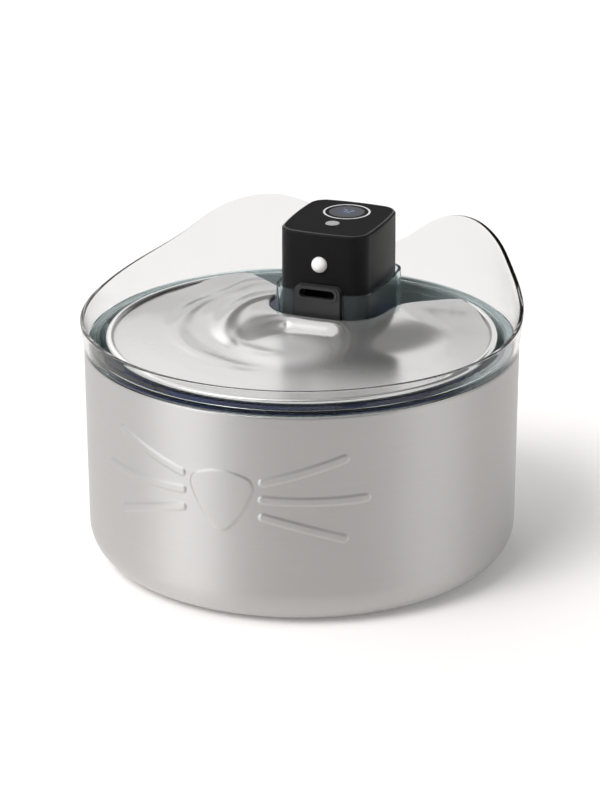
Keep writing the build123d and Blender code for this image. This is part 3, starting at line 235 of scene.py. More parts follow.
def rippled_steel(name, tone, rough):
    """Bright pressed steel with faint rings round the landing point; a lighter tone in the wake, at the front
    and on the rolled rim is painted highlight, and a dark line at the rim's foot is painted shade.
    """
    f = Finish(name)
    flat_place = f.vector("MULTIPLY", f.place(), (1.0, 1.0, 0.0))
    away = f.vector("DISTANCE", flat_place, RIPPLE_CENTRE, 1)
    drift = f.noise(f.stretched((1.0, 1.0, 0.0)), 22.0, 1.0)
    wave = 0.5 + 0.5 * ((away + 0.004 * drift) * RIPPLE_RATE + RIPPLE_START).sin()
    x, y, _ = f.parts(f.place())
    rings = wave * wave * away.ramp(0.088, 0.06) * away.ramp(0.022, 0.038) * x.ramp(0.004, -0.018)
    grain = f.noise(f.stretched((900.0, 60.0, 60.0)), 1.0, 3.0)
    cloud = f.noise(f.place(), 25.0, 2.0)
    ringed = f.bump(rings, RIPPLE_HEIGHT, 1.0)
    reach = from_axis(x, y)
    # Painted highlight on the rolled rim, with a line of painted shade at its foot.
    rim_painted_highlight = reach.ramp(*PAINTED_HIGHLIGHT_RIM)
    rim_painted_shade_line = rim_painted_highlight * reach.ramp(PAINTED_HIGHLIGHT_RIM[1] + RIM_SHADE_LINE_WIDTH, PAINTED_HIGHLIGHT_RIM[1])
    wake_highlight_and_blur = f.vector("DISTANCE", flat_place, WAKE_HIGHLIGHT_AND_BLUR_CENTRE, 1).ramp(*WAKE_HIGHLIGHT_AND_BLUR_EDGE)
    front_highlight_and_blur = y.ramp(*FRONT_HIGHLIGHT_AND_BLUR)
    still = f.mix(cloud.ramp(0.35, 0.65), shade(tone, 0.97), shade(tone, 1.02))
    # Lighter tone in the wake and at the front: painted highlight.
    wake_painted_highlight = f.mix((wake_highlight_and_blur + 0.6 * front_highlight_and_blur).clamp(), still, shade(tone, 1.25))
    # Lighter tone on the rolled rim: painted highlight.
    bright = f.mix(rim_painted_highlight, wake_painted_highlight, shade(tone, 1.5))
    return finished(
        f,
        # Dark line at the foot of the rolled rim: painted shade.
        Base_Color=f.mix(rim_painted_shade_line, bright, shade(tone, 0.5)),
        Metallic=0.85 + 0.15 * rim_painted_highlight - 0.36 * wake_highlight_and_blur - 0.4 * front_highlight_and_blur * (1.0 - rim_painted_highlight),
        Roughness=rough + 0.02 * (cloud - 0.5) + 0.1 * wake_highlight_and_blur.math("MAXIMUM", front_highlight_and_blur),
        Normal=f.bump(grain, 0.000004, 0.6, ringed),
    )


# Pale diffuse film: painted light that lightens the back and sides of the walls.
PAINTED_FILM_TONE = (0.75, 0.78, 0.78)
PAINTED_FILM_ON_COLLAR = 0.1
OUTER_WALL = (0.08, 0.09)
PAINTED_FILM_START = (-0.05, 0.0)


def clear_plastic(name, tint, rough=0.02, gloss=1.33, painted_film=0.0):
    """Clear moulded plastic with a faint orange-peel; a pale diffuse film on the walls at its back and sides
    is painted light that lightens them.
    """
    f = Finish(name)
    flow = f.noise(f.place(), 60.0, 2.0)
    x, y, _ = f.parts(f.place())
    outer_wall = from_axis(x, y).ramp(*OUTER_WALL)
    # Share of the pale film, the painted light, most on the back of the outer wall.
    painted_film_share = (PAINTED_FILM_ON_COLLAR + (1.0 - PAINTED_FILM_ON_COLLAR) * outer_wall) * y.ramp(*PAINTED_FILM_START) * painted_film
    painted_film_shader = f.node("ShaderNodeBsdfDiffuse", None, {0: shade(PAINTED_FILM_TONE)})
    light_let_through = f.node("ShaderNodeBsdfTransparent", None, {0: shade(tint)})
    return finished(
        f,
        ((painted_film_share, painted_film_shader), (f.ray("shadow"), light_let_through)),
        Base_Color=f.mix(flow.ramp(0.3, 0.7), shade(tint, 0.99), shade(tint)),
        Roughness=rough + 0.01 * flow,
        IOR=gloss,
        Transmission_Weight=1.0,
        Normal=f.bump(flow, 0.00001, 0.4),
    )


def moulded_plastic(name, tone, rough, grain=0.00002, specular=0.5):
    """Opaque moulded plastic with a fine spark-eroded grain."""
    f = Finish(name)
    eroded = f.noise(f.place(), 2600.0, 2.0)
    cloud = f.noise(f.place(), 45.0, 3.0)
    return finished(
        f,
        Base_Color=f.mix(cloud.ramp(0.3, 0.7), shade(tone, 0.92), shade(tone, 1.08)),
        Roughness=rough + 0.06 * (cloud - 0.5),
        Specular_IOR_Level=specular,
        Normal=f.bump(eroded, grain, 0.5),
    )


def lens_plastic(name, tone):
    """Milky lens plastic with small moulded facets."""
    f = Finish(name)
    facets = f.node(
        "ShaderNodeTexVoronoi", {"feature": "DISTANCE_TO_EDGE"}, {"Vector": f.place(), "Scale": 620.0}
    )
    return finished(
        f,
        # Slightly darker at the facet borders: painted shade in the grooves between facets.
        Base_Color=f.mix(facets.ramp(0.0, 0.12), shade(tone, 0.94), shade(tone)),
        Roughness=0.28 + 0.1 * facets.clamp(),
        Subsurface_Weight=0.4,
        Subsurface_Radius=(0.0012, 0.0012, 0.0012),
        Subsurface_Scale=1.0,
        Normal=f.bump(facets.ramp(0.0, 0.1), 0.00008, 0.5),
    )


DISPLAY_Y = 0.0618
HEART_RADIUS = 0.0075


def window_glass(name):
    """Dark smoked window, glossy, with a faint blue heart where the display shines through."""
    f = Finish(name)
    x, y, _ = f.parts(f.stretched((1.0, 1.0, 1.0), shift=(0.0, -DISPLAY_Y, 0.0)))
    heart = from_axis(x, y).ramp(0.0, HEART_RADIUS)
    cloud = f.noise(f.place(), 300.0, 2.0)
    return finished(
        f,
        Base_Color=f.mix(heart, (0.012, 0.022, 0.075, 1.0), (0.006, 0.007, 0.012, 1.0)),
        Roughness=0.22 + 0.05 * cloud,
        Specular_IOR_Level=0.12,
    )


def metal(name, tone, rough, scale=400.0):
    """Plain cut or drawn metal with fine marks."""
    f = Finish(name)
    marks = f.noise(f.place(), scale, 4.0, 0.6)
    return finished(
        f,
        Base_Color=f.mix(marks.ramp(0.3, 0.7), shade(tone, 0.9), shade(tone, 1.08)),
        Metallic=1.0,
        Roughness=rough + 0.12 * (marks - 0.5),
        Normal=f.bump(marks, 0.00002, 0.4),
    )


def open_foam(name, tone, scale):
    """Open-cell foam or bedded grains: pale walls, with the pores and gaps between them darkened by painted
    shade.
    """
    f = Finish(name)
    cells = f.node(
        "ShaderNodeTexVoronoi", {"feature": "F1"}, {"Vector": f.place(), "Scale": scale}
    )
    return finished(
        f,
        # Darker between the cells: painted shade in the pores and gaps.
        Base_Color=f.mix(cells.ramp(0.15, 0.6), shade(tone), shade(tone, 0.45)),
        Roughness=0.9,
        Normal=f.bump(cells, 0.0004, 0.8),
    )


def circuit_board(name):
    """Solder-masked board with faint tracks."""
    f = Finish(name)
    tracks = f.node(
        "ShaderNodeTexBrick",
        {"offset": 0.5},
        {"Vector": f.place(), "Scale": 180.0, "Mortar Size": 0.03, "Color1": (0.01, 0.11, 0.05, 1.0),
         "Color2": (0.012, 0.13, 0.06, 1.0), "Mortar": (0.03, 0.2, 0.09, 1.0)},
    )
    cloud = f.noise(f.place(), 500.0, 2.0)
    return finished(f, Base_Color=tracks, Roughness=0.35 + 0.15 * cloud, Normal=f.bump(cloud, 0.00002, 0.5))


def glowing(name, tone, strength):
    """Lit display segment."""
    f = Finish(name)
    cloud = f.noise(f.place(), 900.0, 1.0)
    return finished(
        f,
        Base_Color=shade(tone, 0.15),
        Roughness=0.4,
        Emission_Color=f.mix(cloud, shade(tone, 0.85), shade(tone)),
        Emission_Strength=strength,
    )


FINISH = {
    "bowl steel": brushed_steel("bowl_satin_steel", (0.585, 0.577, 0.57), 0.48),
    "plate steel": rippled_steel("plate_bright_steel", (0.61, 0.60, 0.595), 0.16),
    "guard clear": clear_plastic("guard_clear_plastic", (0.82, 0.823, 0.824), gloss=1.2),
    "tray clear": clear_plastic("tray_clear_plastic", (0.82, 0.92, 0.92), gloss=1.09, painted_film=0.2),
    "black satin": moulded_plastic("satin_black_plastic", (0.007, 0.007, 0.0075), 0.40, specular=0.12),
    "panel black": moulded_plastic("top_panel_black", (0.005, 0.005, 0.0055), 0.34, specular=0.008),
    "black gloss": moulded_plastic("spout_black_plastic", (0.03, 0.03, 0.031), 0.34, specular=0.4),
    "inner black": moulded_plastic("inner_black_plastic", (0.02, 0.02, 0.021), 0.5),
    "window": window_glass("smoked_window"),
    "ring trim": moulded_plastic("pale_ring_trim", (0.55, 0.55, 0.56), 0.3),
    "button": moulded_plastic("pale_button", (0.30, 0.30, 0.30), 0.35),
    "lens": lens_plastic("milky_lens", (0.93, 0.92, 0.91)),
    "filter blue": moulded_plastic("filter_blue_plastic", (0.02, 0.05, 0.27), 0.35),
    "filter foam": open_foam("white_filter_foam", (0.75, 0.76, 0.77), 900.0),
    "sponge": open_foam("inlet_sponge_foam", (0.08, 0.08, 0.085), 1100.0),
    "carbon": open_foam("black_carbon_grains", (0.03, 0.03, 0.032), 700.0),
    "silicone": moulded_plastic("black_silicone", (0.02, 0.02, 0.02), 0.6),
    "tube": clear_plastic("silicone_tube", (0.93, 0.94, 0.94), 0.25),
    "board": circuit_board("green_circuit_board"),
    "cells": moulded_plastic("blue_cell_sleeve", (0.05, 0.16, 0.32), 0.3),
    "inner": moulded_plastic("natural_inner_plastic", (0.5, 0.5, 0.48), 0.5),
    "bright": metal("bright_metal", (0.62, 0.62, 0.63), 0.25),
    "core": metal("laminated_core_steel", (0.35, 0.35, 0.36), 0.45, 900.0),
    "copper": metal("wound_copper_wire", (0.72, 0.32, 0.14), 0.35, 1400.0),
    "ceramic": moulded_plastic("white_ceramic", (0.8, 0.79, 0.76), 0.2),
    "magnet": metal("dark_magnet", (0.16, 0.16, 0.17), 0.4, 700.0),
    "digits": glowing("display_digits", (0.6, 0.7, 1.0), 0.2),
}

CAD_FINISH = {
    "steel_bowl": "bowl steel",
    "splash_guard": "guard clear",
    "filter_tray": "tray clear",
    "drinking_plate": "plate steel",
    "filter_case": "filter blue",
    "filter_lid": "filter blue",
    "foam_pad": "filter foam",
    "carbon_bed": "carbon",
    "upper_housing": "black satin",
    "top_panel": "panel black",
    "lower_housing": "black satin",
    "housing_seal": "silicone",
    "display_window": "window",
    "display_ring": "ring trim",
    "display_module": "inner black",
    "display_board": "board",
    "button_switch": "inner black",
    "mode_button": "button",
    "pir_lens": "lens",
    "pir_sensor": "bright",
    "spout_nozzle": "black gloss",
    "riser_tube": "tube",
    "control_board": "board",
    "battery_cells": "cells",
    "battery_holder": "inner",
    "charging_socket": "bright",
    "port_plug": "silicone",
    "stator_core": "core",
    "stator_coils": "copper",
    "pump_base": "black satin",
    "pump_screws": "bright",
    "impeller_shaft": "ceramic",
    "shaft_bushes": "silicone",
    "impeller_wheel": "inner",
    "rotor_magnet": "magnet",
    "inlet_cover": "black satin",
    "inlet_sponge": "sponge",
}

for node_name, finish_name in CAD_FINISH.items():
    for material_slot in NODES[node_name].material_slots:
        material_slot.material = FINISH[finish_name]


# --- Shapes --------------------------------------------------------------------------------------


def unit(vector):
    return vector / np.linalg.norm(vector)


def rounded_path(points, radii, step=4.0):
    """Polyline with its inner corners rounded; each arc is divided every step degrees."""
    points = [np.array(point, float) for point in points]
    path = [points[0]]
    for before, corner, after, radius in zip(points, points[1:], points[2:], radii):
        one, two = unit(before - corner), unit(after - corner)
        half = math.acos(float(one @ two)) / 2
        centre = corner + unit(one + two) * radius / math.sin(half)
        start, end = corner + one * radius / math.tan(half), corner + two * radius / math.tan(half)
        first, last = start - centre, end - centre
        sweep = math.atan2(first[0] * last[1] - first[1] * last[0], float(first @ last))
        count = max(2, int(abs(math.degrees(sweep)) / step))
        for turn in np.linspace(0.0, sweep, count + 1):
            c, s = math.cos(turn), math.sin(turn)
            path.append(centre + np.array([first[0] * c - first[1] * s, first[0] * s + first[1] * c]))
    path.append(points[-1])
    return np.array(path)


def evenly(path, step):
    """The same open path with points at even distances."""
    runs = np.r_[0.0, np.cumsum(np.linalg.norm(np.diff(path, axis=0), axis=1))]
    places = np.linspace(0.0, runs[-1], max(2, int(round(runs[-1] / step))) + 1)
    return np.stack([np.interp(places, runs, path[:, axis]) for axis in range(path.shape[1])], 1)


def distance_to(points, path):
    """Distance of each point from an open path."""
    best = np.full(len(points), 1e9)
    for start, end in zip(path[:-1], path[1:]):
        along = end - start
        share = np.clip(((points - start) @ along) / (along @ along), 0.0, 1.0)
        best = np.minimum(best, np.linalg.norm(points - start - share[:, None] * along, axis=1))
    return best


def smooth(value):
    value = np.clip(value, 0.0, 1.0)
    return value * value * (3.0 - 2.0 * value)


def smoother(value):
    value = np.clip(value, 0.0, 1.0)
    return value ** 3 * (value * (6.0 * value - 15.0) + 10.0)


def leftwards(path):
    """Unit normals on the left of an open path."""
    along = np.gradient(path, axis=0)
    along /= np.linalg.norm(along, axis=1)[:, None]
    return np.stack([-along[:, 1], along[:, 0]], 1)


def closed_leftwards(loop):
    """Unit normals on the left of a closed path."""
    along = np.roll(loop, -1, 0) - np.roll(loop, 1, 0)
    along /= np.linalg.norm(along, axis=1)[:, None]
    return np.stack([-along[:, 1], along[:, 0]], 1)


def smoothed(loop, times):
    """A closed row of values or points, evened out with its neighbours a number of times."""
    for _ in range(times):
        loop = (np.roll(loop, 1, 0) + 2.0 * loop + np.roll(loop, -1, 0)) / 4.0
    return loop


def search_tree(node_name):
    """Search tree over the faces of a CAD node, in metres."""
    mesh = NODES[node_name].data
    return BVHTree.FromPolygons([v.co for v in mesh.vertices], [p.vertices for p in mesh.polygons])


def grid_faces(rows, columns, close_rows=False, close_columns=False):
    """Quads between rows * columns points that are stored row by row."""
    faces = []
    for row in range(rows if close_rows else rows - 1):
        here, above = row * columns, (row + 1) % rows * columns
        for column in range(columns if close_columns else columns - 1):
            beside = (column + 1) % columns
            faces.append((here + column, here + beside, above + beside, above + column))
    return faces


def shade_smooth(mesh, sharp):
    mesh.polygons.foreach_set("use_smooth", [True] * len(mesh.polygons))
    mesh.set_sharp_from_angle(angle=math.radians(sharp))


def hand_over(piece, body, stands_for):
    """Says which body a piece rides on and the CAD nodes that it stands for."""
    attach(piece, body)
    if stands_for:
        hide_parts(*stands_for)


def add_piece(name, body, points, faces, finish, stands_for=(), sharp=40.0):
    """Smooth-shaded piece from points in millimetres, with its faces turned outwards."""
    points = np.asarray(points, float)
    volume = 0.0
    for face in faces:
        corner = points[face[0]]
        for second, third in zip(face[1:-1], face[2:]):
            volume += float(corner @ np.cross(points[second], points[third]))
    if volume < 0:
        faces = [tuple(reversed(face)) for face in faces]
    mesh = bpy.data.meshes.new(name)
    mesh.from_pydata([tuple(point) for point in points * MM], [], faces)
    shade_smooth(mesh, sharp)
    mesh.materials.append(FINISH[finish])
    piece = bpy.data.objects.new(name, mesh)
    bpy.context.scene.collection.objects.link(piece)
    hand_over(piece, body, stands_for)


class Recipe(Sheet):
    """A geometry node tree with named sizes, in metres, that makes one piece."""

    def __init__(self, name, sizes):
        super().__init__(bpy.data.node_groups.new(name, "GeometryNodeTree"))
        self.sizes = sizes
        for label in sizes:
            self.tree.interface.new_socket(label, in_out="INPUT", socket_type="NodeSocketFloat")
        self.tree.interface.new_socket("Geometry", in_out="OUTPUT", socket_type="NodeSocketGeometry")
        self.entry = self.tree.nodes.new("NodeGroupInput")

    def size(self, label):
        return Wire(self, self.entry.outputs[label])

    def moved(self, geometry, place=(0.0, 0.0, 0.0), turn=(0.0, 0.0, 0.0)):
        return self.node(
            "GeometryNodeTransform", None, {"Geometry": geometry, "Translation": place, "Rotation": turn}
        )

    def piece(self, name, body, geometry, finish, slot, stands_for=(), sharp=40.0):
        """Plain mesh of what the tree makes, as a piece that rides on a body."""
        real = self.node("GeometryNodeRealizeInstances", None, {0: geometry})
        dressed = self.node(
            "GeometryNodeSetMaterial", None, {"Geometry": real, "Material": FINISH[finish]}
        )
        output_free(self, "NodeGroupOutput", {0: dressed})
        piece = bpy.data.objects.new(name, bpy.data.meshes.new(name + "_start"))
        bpy.context.scene.collection.objects.link(piece)
        modifier = piece.modifiers.new(name, "NODES")
        modifier.node_group = self.tree
        for socket in self.tree.interface.items_tree:
            if socket.in_out == "INPUT":
                modifier[socket.identifier] = self.sizes[socket.name]
        evaluated = piece.evaluated_get(bpy.context.evaluated_depsgraph_get())
        mesh = bpy.data.meshes.new_from_object(evaluated)
        piece.modifiers.clear()
        piece.data = mesh
        mesh.name = name
        shade_smooth(mesh, sharp)
        hand_over(piece, body, stands_for)


# --- Bowl ------------------------------------------------------------------------------------------
STEEL = 0.8
BOWL_RADIUS = 105.0
BOWL_BASE_RADIUS = 103.55
BOWL_HEIGHT = 107.0
FOOT_RADIUS = 62.0
FOOT_SLOPE = 4.0
FOOT_RISE = 1.2
RIM_INNER_RADIUS = 101.8
RIM_FOLD_RADIUS = 101.45
BOWL_CORNERS = (3.0, 3.0, 18.7, 1.4)
# Start, end and step, of turns in degrees and of rows in height.
FINE_TURNS = (-42.0, 42.001, 0.3)
COARSE_TURNS = (44.0, 317.0, 2.0)
RELIEF_ROWS = (40.0, 93.0, 0.6)
RELIEF = 0.5
RELIEF_SLOPE = 0.8
NOSE_TOP = (0.0, 78.2)
NOSE_SHOULDER = (16.6, 73.6)
NOSE_SIDE = (10.2, 58.0)
NOSE_TIP = (0.0, 46.6)
NOSE_CORNER = 4.6
WHISKER_WIDTH = 3.6
WHISKERS = (
    ((20.4, 74.0), (39.3, 79.5), (58.6, 85.8)),
    ((20.2, 65.4), (42.0, 64.9), (68.6, 65.5)),
    ((20.3, 56.6), (39.9, 51.4), (58.0, 45.9)),
)


def circle_through(one, two, three):
    """Centre and radius of the circle through three points."""
    one, two, three = (complex(*point) for point in (one, two, three))
    ratio = (three - one) / (two - one)
    centre = one + (two - one) * (ratio - abs(ratio) ** 2) / (2j * ratio.imag)
    return np.array([centre.real, centre.imag]), abs(one - centre)


def arc_through(one, two, three, count=48):
    """Points on the arc from one to three that passes two."""
    centre, radius = circle_through(one, two, three)
    turns = [math.atan2(point[1] - centre[1], point[0] - centre[0]) for point in (one, two, three)]
    turns[1] = turns[0] + (turns[1] - turns[0] + math.pi) % (2 * math.pi) - math.pi
    turns[2] = turns[1] + (turns[2] - turns[1] + math.pi) % (2 * math.pi) - math.pi
    sweep = np.linspace(turns[0], turns[2], count)
    return np.stack([centre[0] + radius * np.cos(sweep), centre[1] + radius * np.sin(sweep)], 1)


def across(point):
    return (-point[0], point[1])


def bowl_radius(height):
    return BOWL_BASE_RADIUS + (BOWL_RADIUS - BOWL_BASE_RADIUS) * height / BOWL_HEIGHT


def on_front(point):
    around, height = point
    wall = bowl_radius(height)
    return (wall * math.sin(around / wall), height)


def relief_height(places):
    """How far the pressed nose and whiskers stand out at places in the front view."""
    discs = [
        circle_through(across(NOSE_SHOULDER), NOSE_TOP, NOSE_SHOULDER),
        circle_through(NOSE_SHOULDER, NOSE_SIDE, NOSE_TIP),
        circle_through(NOSE_TIP, across(NOSE_SIDE), across(NOSE_SHOULDER)),
    ]
    outside = [np.linalg.norm(places - centre, axis=1) - radius for centre, radius in discs]
    past = [np.maximum(value + NOSE_CORNER, 0.0) for value in outside]
    nose = np.sqrt(sum(value * value for value in past)) - NOSE_CORNER
    nose = np.where(nose > -NOSE_CORNER, nose, np.max(outside, axis=0))
    nearest = nose
    folded = np.stack([np.abs(places[:, 0]), places[:, 1]], 1)
    for whisker in WHISKERS:
        line = arc_through(*(on_front(point) for point in whisker))
        nearest = np.minimum(nearest, distance_to(folded, line) - WHISKER_WIDTH / 2)
    return RELIEF * smooth(0.5 - nearest / RELIEF_SLOPE)


def wall_rows(path, low, high, step):
    """The path with extra points where it crosses heights from low to high."""
    rows = [path[0]]
    for start, end in zip(path[:-1], path[1:]):
        if start[1] < low and end[1] > high:
            for height in np.arange(low, high + step / 2, step):
                share = (height - start[1]) / (end[1] - start[1])
                rows.append(start + share * (end - start))
        rows.append(end)
    return np.array(rows)


def build_bowl():
    """Bowl turned from its section, with finer steps where the relief is pressed into its front."""
    outer = rounded_path(
        [
            (0, FOOT_RISE),
            (FOOT_RADIUS - FOOT_SLOPE, FOOT_RISE),
            (FOOT_RADIUS, 0),
            (BOWL_BASE_RADIUS, 0),
            (BOWL_RADIUS, BOWL_HEIGHT),
            (RIM_INNER_RADIUS, BOWL_HEIGHT),
        ],
        BOWL_CORNERS,
    )
    inner = outer + STEEL * leftwards(outer)
    inner[0] = (0.0, FOOT_RISE + STEEL)
    inner[-1] = (RIM_INNER_RADIUS, BOWL_HEIGHT - STEEL)
    outer = wall_rows(outer, *RELIEF_ROWS)
    fold = [(RIM_FOLD_RADIUS, BOWL_HEIGHT - STEEL / 2)]
    section = np.vstack([outer[1:], fold, inner[:0:-1]])
    turns = np.radians(np.r_[np.arange(*FINE_TURNS), np.arange(*COARSE_TURNS)])
    radius, height = section[:, 0][:, None], section[:, 1][:, None]
    places = np.stack([(radius * np.sin(turns)).ravel(), (height + 0.0 * turns).ravel()], 1)
    raised = relief_height(places).reshape(len(section), len(turns))
    facing = np.zeros((len(section), 1))
    facing[: len(outer) - 1] = 1.0
    raised = raised * facing * (np.cos(turns) > 0.5)
    reach = radius + raised
    points = np.stack(
        [reach * np.sin(turns), -reach * np.cos(turns), height + 0.0 * reach], 2
    ).reshape(-1, 3)
    faces = grid_faces(len(section), len(turns), close_columns=True)
    columns = len(turns)
    foot, floor = len(points), len(points) + 1
    points = np.vstack([points, [(0, 0, FOOT_RISE)], [(0, 0, FOOT_RISE + STEEL)]])
    last = (len(section) - 1) * columns
    for column in range(columns):
        beside = (column + 1) % columns
        faces.append((foot, beside, column))
        faces.append((floor, last + column, last + beside))
    add_piece(
        "pressed_bowl", "bowl", points, faces, "bowl steel", ["steel_bowl"], 50.0
    )


# --- Splash guard ------------------------------------------------------------------------------------
GUARD_WALL = 2.0
GUARD_FOOT_TOP = 108.6
GUARD_LIP = 120.3
GUARD_FLARE = 1.8
FLARE_EASES = 0.75
FLARE_ENDS = 1.25
EDGE_ROUND = 0.55
EDGE_TURNS = (30.0, 60.0, 90.0)
FOOT_BLEND = 0.5
LIP_PROBE_RADIUS = 105.8
LIP_SMOOTHING = 3
GUARD_COLUMNS = 360
GUARD_WALL_ROWS = 13
GUARD_SKIRT = ((100.0, 103.3), (100.3, 103.0), (101.2, 103.0), (101.5, 103.3), (101.5, BOWL_HEIGHT))
GUARD_SEAT = (
    (102.6, GUARD_FOOT_TOP), (100.1, GUARD_FOOT_TOP), (99.8, 108.3), (99.8, 107.3), (100.0, BOWL_HEIGHT)
)


def surface_heights(node_name, places, top=200.0):
    """Height of a CAD node's top surface at places, looking down on it."""
    tree = search_tree(node_name)
    heights = []
    for x, y in places:
        hit = tree.ray_cast(Vector((x * MM, y * MM, top * MM)), Vector((0, 0, -1)))[0]
        heights.append(hit.z / MM)
    return np.array(heights)


def build_guard():
    """Guard wall on the rim of the bowl; the height of its lip follows the CAD guard."""
    turns = np.radians(np.linspace(0.0, 360.0, GUARD_COLUMNS, endpoint=False))
    probes = np.stack([LIP_PROBE_RADIUS * np.sin(turns), LIP_PROBE_RADIUS * np.cos(turns)], 1)
    lips = smoothed(surface_heights("splash_guard", probes), LIP_SMOOTHING)
    lips = np.maximum(lips, GUARD_LIP)

    def flare(height):
        share = (height - BOWL_HEIGHT) / (GUARD_LIP - BOWL_HEIGHT)
        eased = np.where(share < FLARE_EASES, share, share - (share - FLARE_EASES) ** 2)
        return BOWL_RADIUS + GUARD_FLARE * np.where(share > FLARE_ENDS, 1.0, eased)

    def level_rows(section):
        everywhere = np.ones(GUARD_COLUMNS)
        return [(radius * everywhere, height * everywhere) for radius, height in section]

    rows = level_rows(GUARD_SKIRT)
    shares = np.linspace(0.0, 1.0, GUARD_WALL_ROWS)
    for share in shares:
        height = BOWL_HEIGHT + share * (lips - EDGE_ROUND - BOWL_HEIGHT)
        rows.append((flare(height), height))
    edge = flare(lips)
    rounds = np.radians(EDGE_TURNS)
    for turn in rounds:
        radius = edge - EDGE_ROUND * (1 - math.cos(turn))
        rows.append((radius, lips - EDGE_ROUND * (1 - math.sin(turn))))
    for turn in rounds[::-1]:
        radius = edge - GUARD_WALL + EDGE_ROUND * (1 - math.cos(turn))
        rows.append((radius, lips - EDGE_ROUND * (1 - math.sin(turn))))
    foot = GUARD_FOOT_TOP + FOOT_BLEND
    for share in shares[::-1]:
        height = foot + share * (lips - EDGE_ROUND - GUARD_FOOT_TOP - FOOT_BLEND)
        rows.append((flare(height) - GUARD_WALL, height))
    rows += level_rows(GUARD_SEAT)
    points = np.concatenate(
        [np.stack([radius * np.sin(turns), radius * np.cos(turns), height], 1) for radius, height in rows]
    )
    faces = grid_faces(len(rows), GUARD_COLUMNS, close_rows=True, close_columns=True)
    add_piece("eared_guard", "guard", points, faces, "guard clear", ["splash_guard"])


# --- Drinking plate ----------------------------------------------------------------------------------
PLATE_RADIUS = 94.5
PLATE_STEEL = 0.8
BEAD_Z = 110.3
NOTCH = ((0, 17.2), (27.6, 17.2), (31.5, 55.0), (56.0, 74.0), (98.0, 52.0))
NOTCH_RADII = (17.0, 20.0, 14.0)
DISH_CENTRE = 107.6
DISH_DEPTH = 2.6
DISH_RADIUS = 93.5
HUMP_LIFT = 5.9
HUMP_FALL = 3.8
HUMP_REACH_FRONT = 13.5
HUMP_REACH_SIDE = 50.0
# Pairs for grown: where a change starts, and how far it runs.
HUMP_WIDENS = (10.0, 22.0)
HUMP_NARROWS = (30.0, 25.0)
HUMP_NARROWING = 0.45
HUMP_FALLS = (30.0, 50.0)
BEAD_STARTS = (92.6, 1.7)
NOTCH_STEP = 0.5
LOOP_STEP = 1.2
LOOP_SMOOTHING = 12
RIM_POINTS = 900
FIELD_REACH = 92.0
FIELD_STEP = 1.7
# Distance between rows, and from the edge, as shares of FIELD_STEP.
FIELD_ROW = 0.866
FIELD_MARGIN = 0.6
# Each pair is (in from the edge, up). Up is above BEAD_Z in BEAD, where None takes the height from
# ROLL, and above the dish in ROLL.
BEAD = (
    (6.5, None), (5.0, None), (4.2, None), (3.6, -0.05), (3.3, 0.2), (3.1, 0.75), (2.7, 1.2), (2.1, 1.46),
    (1.4, 1.47), (0.8, 1.25), (0.3, 0.8), (0.05, 0.2), (0.0, -0.3), (0.15, -0.9), (0.6, -1.35),
    (1.3, -1.5), (2.1, -1.3), (3.2, None), (6.5, None),
)
ROLL = (
    (6.5, 0.0), (5.5, 0.0), (4.6, 0.0), (3.6, 0.0), (2.6, 0.0), (1.6, 0.0), (0.95, -0.04), (0.5, -0.2),
    (0.2, -0.5), (0.05, -0.95), (0.0, -1.5), (0.0, -2.2), (0.2, -2.6), (0.5, -2.6), (0.75, -2.3),
    (0.8, -1.6), (1.1, -1.0), (1.8, -0.8), (6.5, -0.8),
)


def grown(values, start, span):
    """Smooth growth from 0 at start to 1 at start + span."""
    return smooth((values - start) / span)


def half_notch():
    """Right half of the notch, from its middle to where it meets the rim."""
    notch = evenly(rounded_path(NOTCH, NOTCH_RADII), NOTCH_STEP)
    return notch[: int(np.argmax(np.linalg.norm(notch, axis=1) > PLATE_RADIUS)) + 1]


def plate_surface(places, notch):
    """Height of the dish at places, with the hump that swells round the notch."""
    across_x, back_y = np.abs(places[:, 0]), places[:, 1]
    dish = DISH_CENTRE + DISH_DEPTH * (np.linalg.norm(places, axis=1) / DISH_RADIUS) ** 2
    sides = (notch[::4] * (-1, 1), notch[::4])
    from_notch = np.minimum(*(distance_to(places, side) for side in sides))
    aside = grown(across_x, *HUMP_WIDENS) * (1.0 - HUMP_NARROWING * grown(back_y, *HUMP_NARROWS))
    wide = HUMP_REACH_FRONT + (HUMP_REACH_SIDE - HUMP_REACH_FRONT) * aside
    lift = HUMP_LIFT - HUMP_FALL * grown(back_y, *HUMP_FALLS)
    return dish + lift * (1.0 - smoother(from_notch / wide))


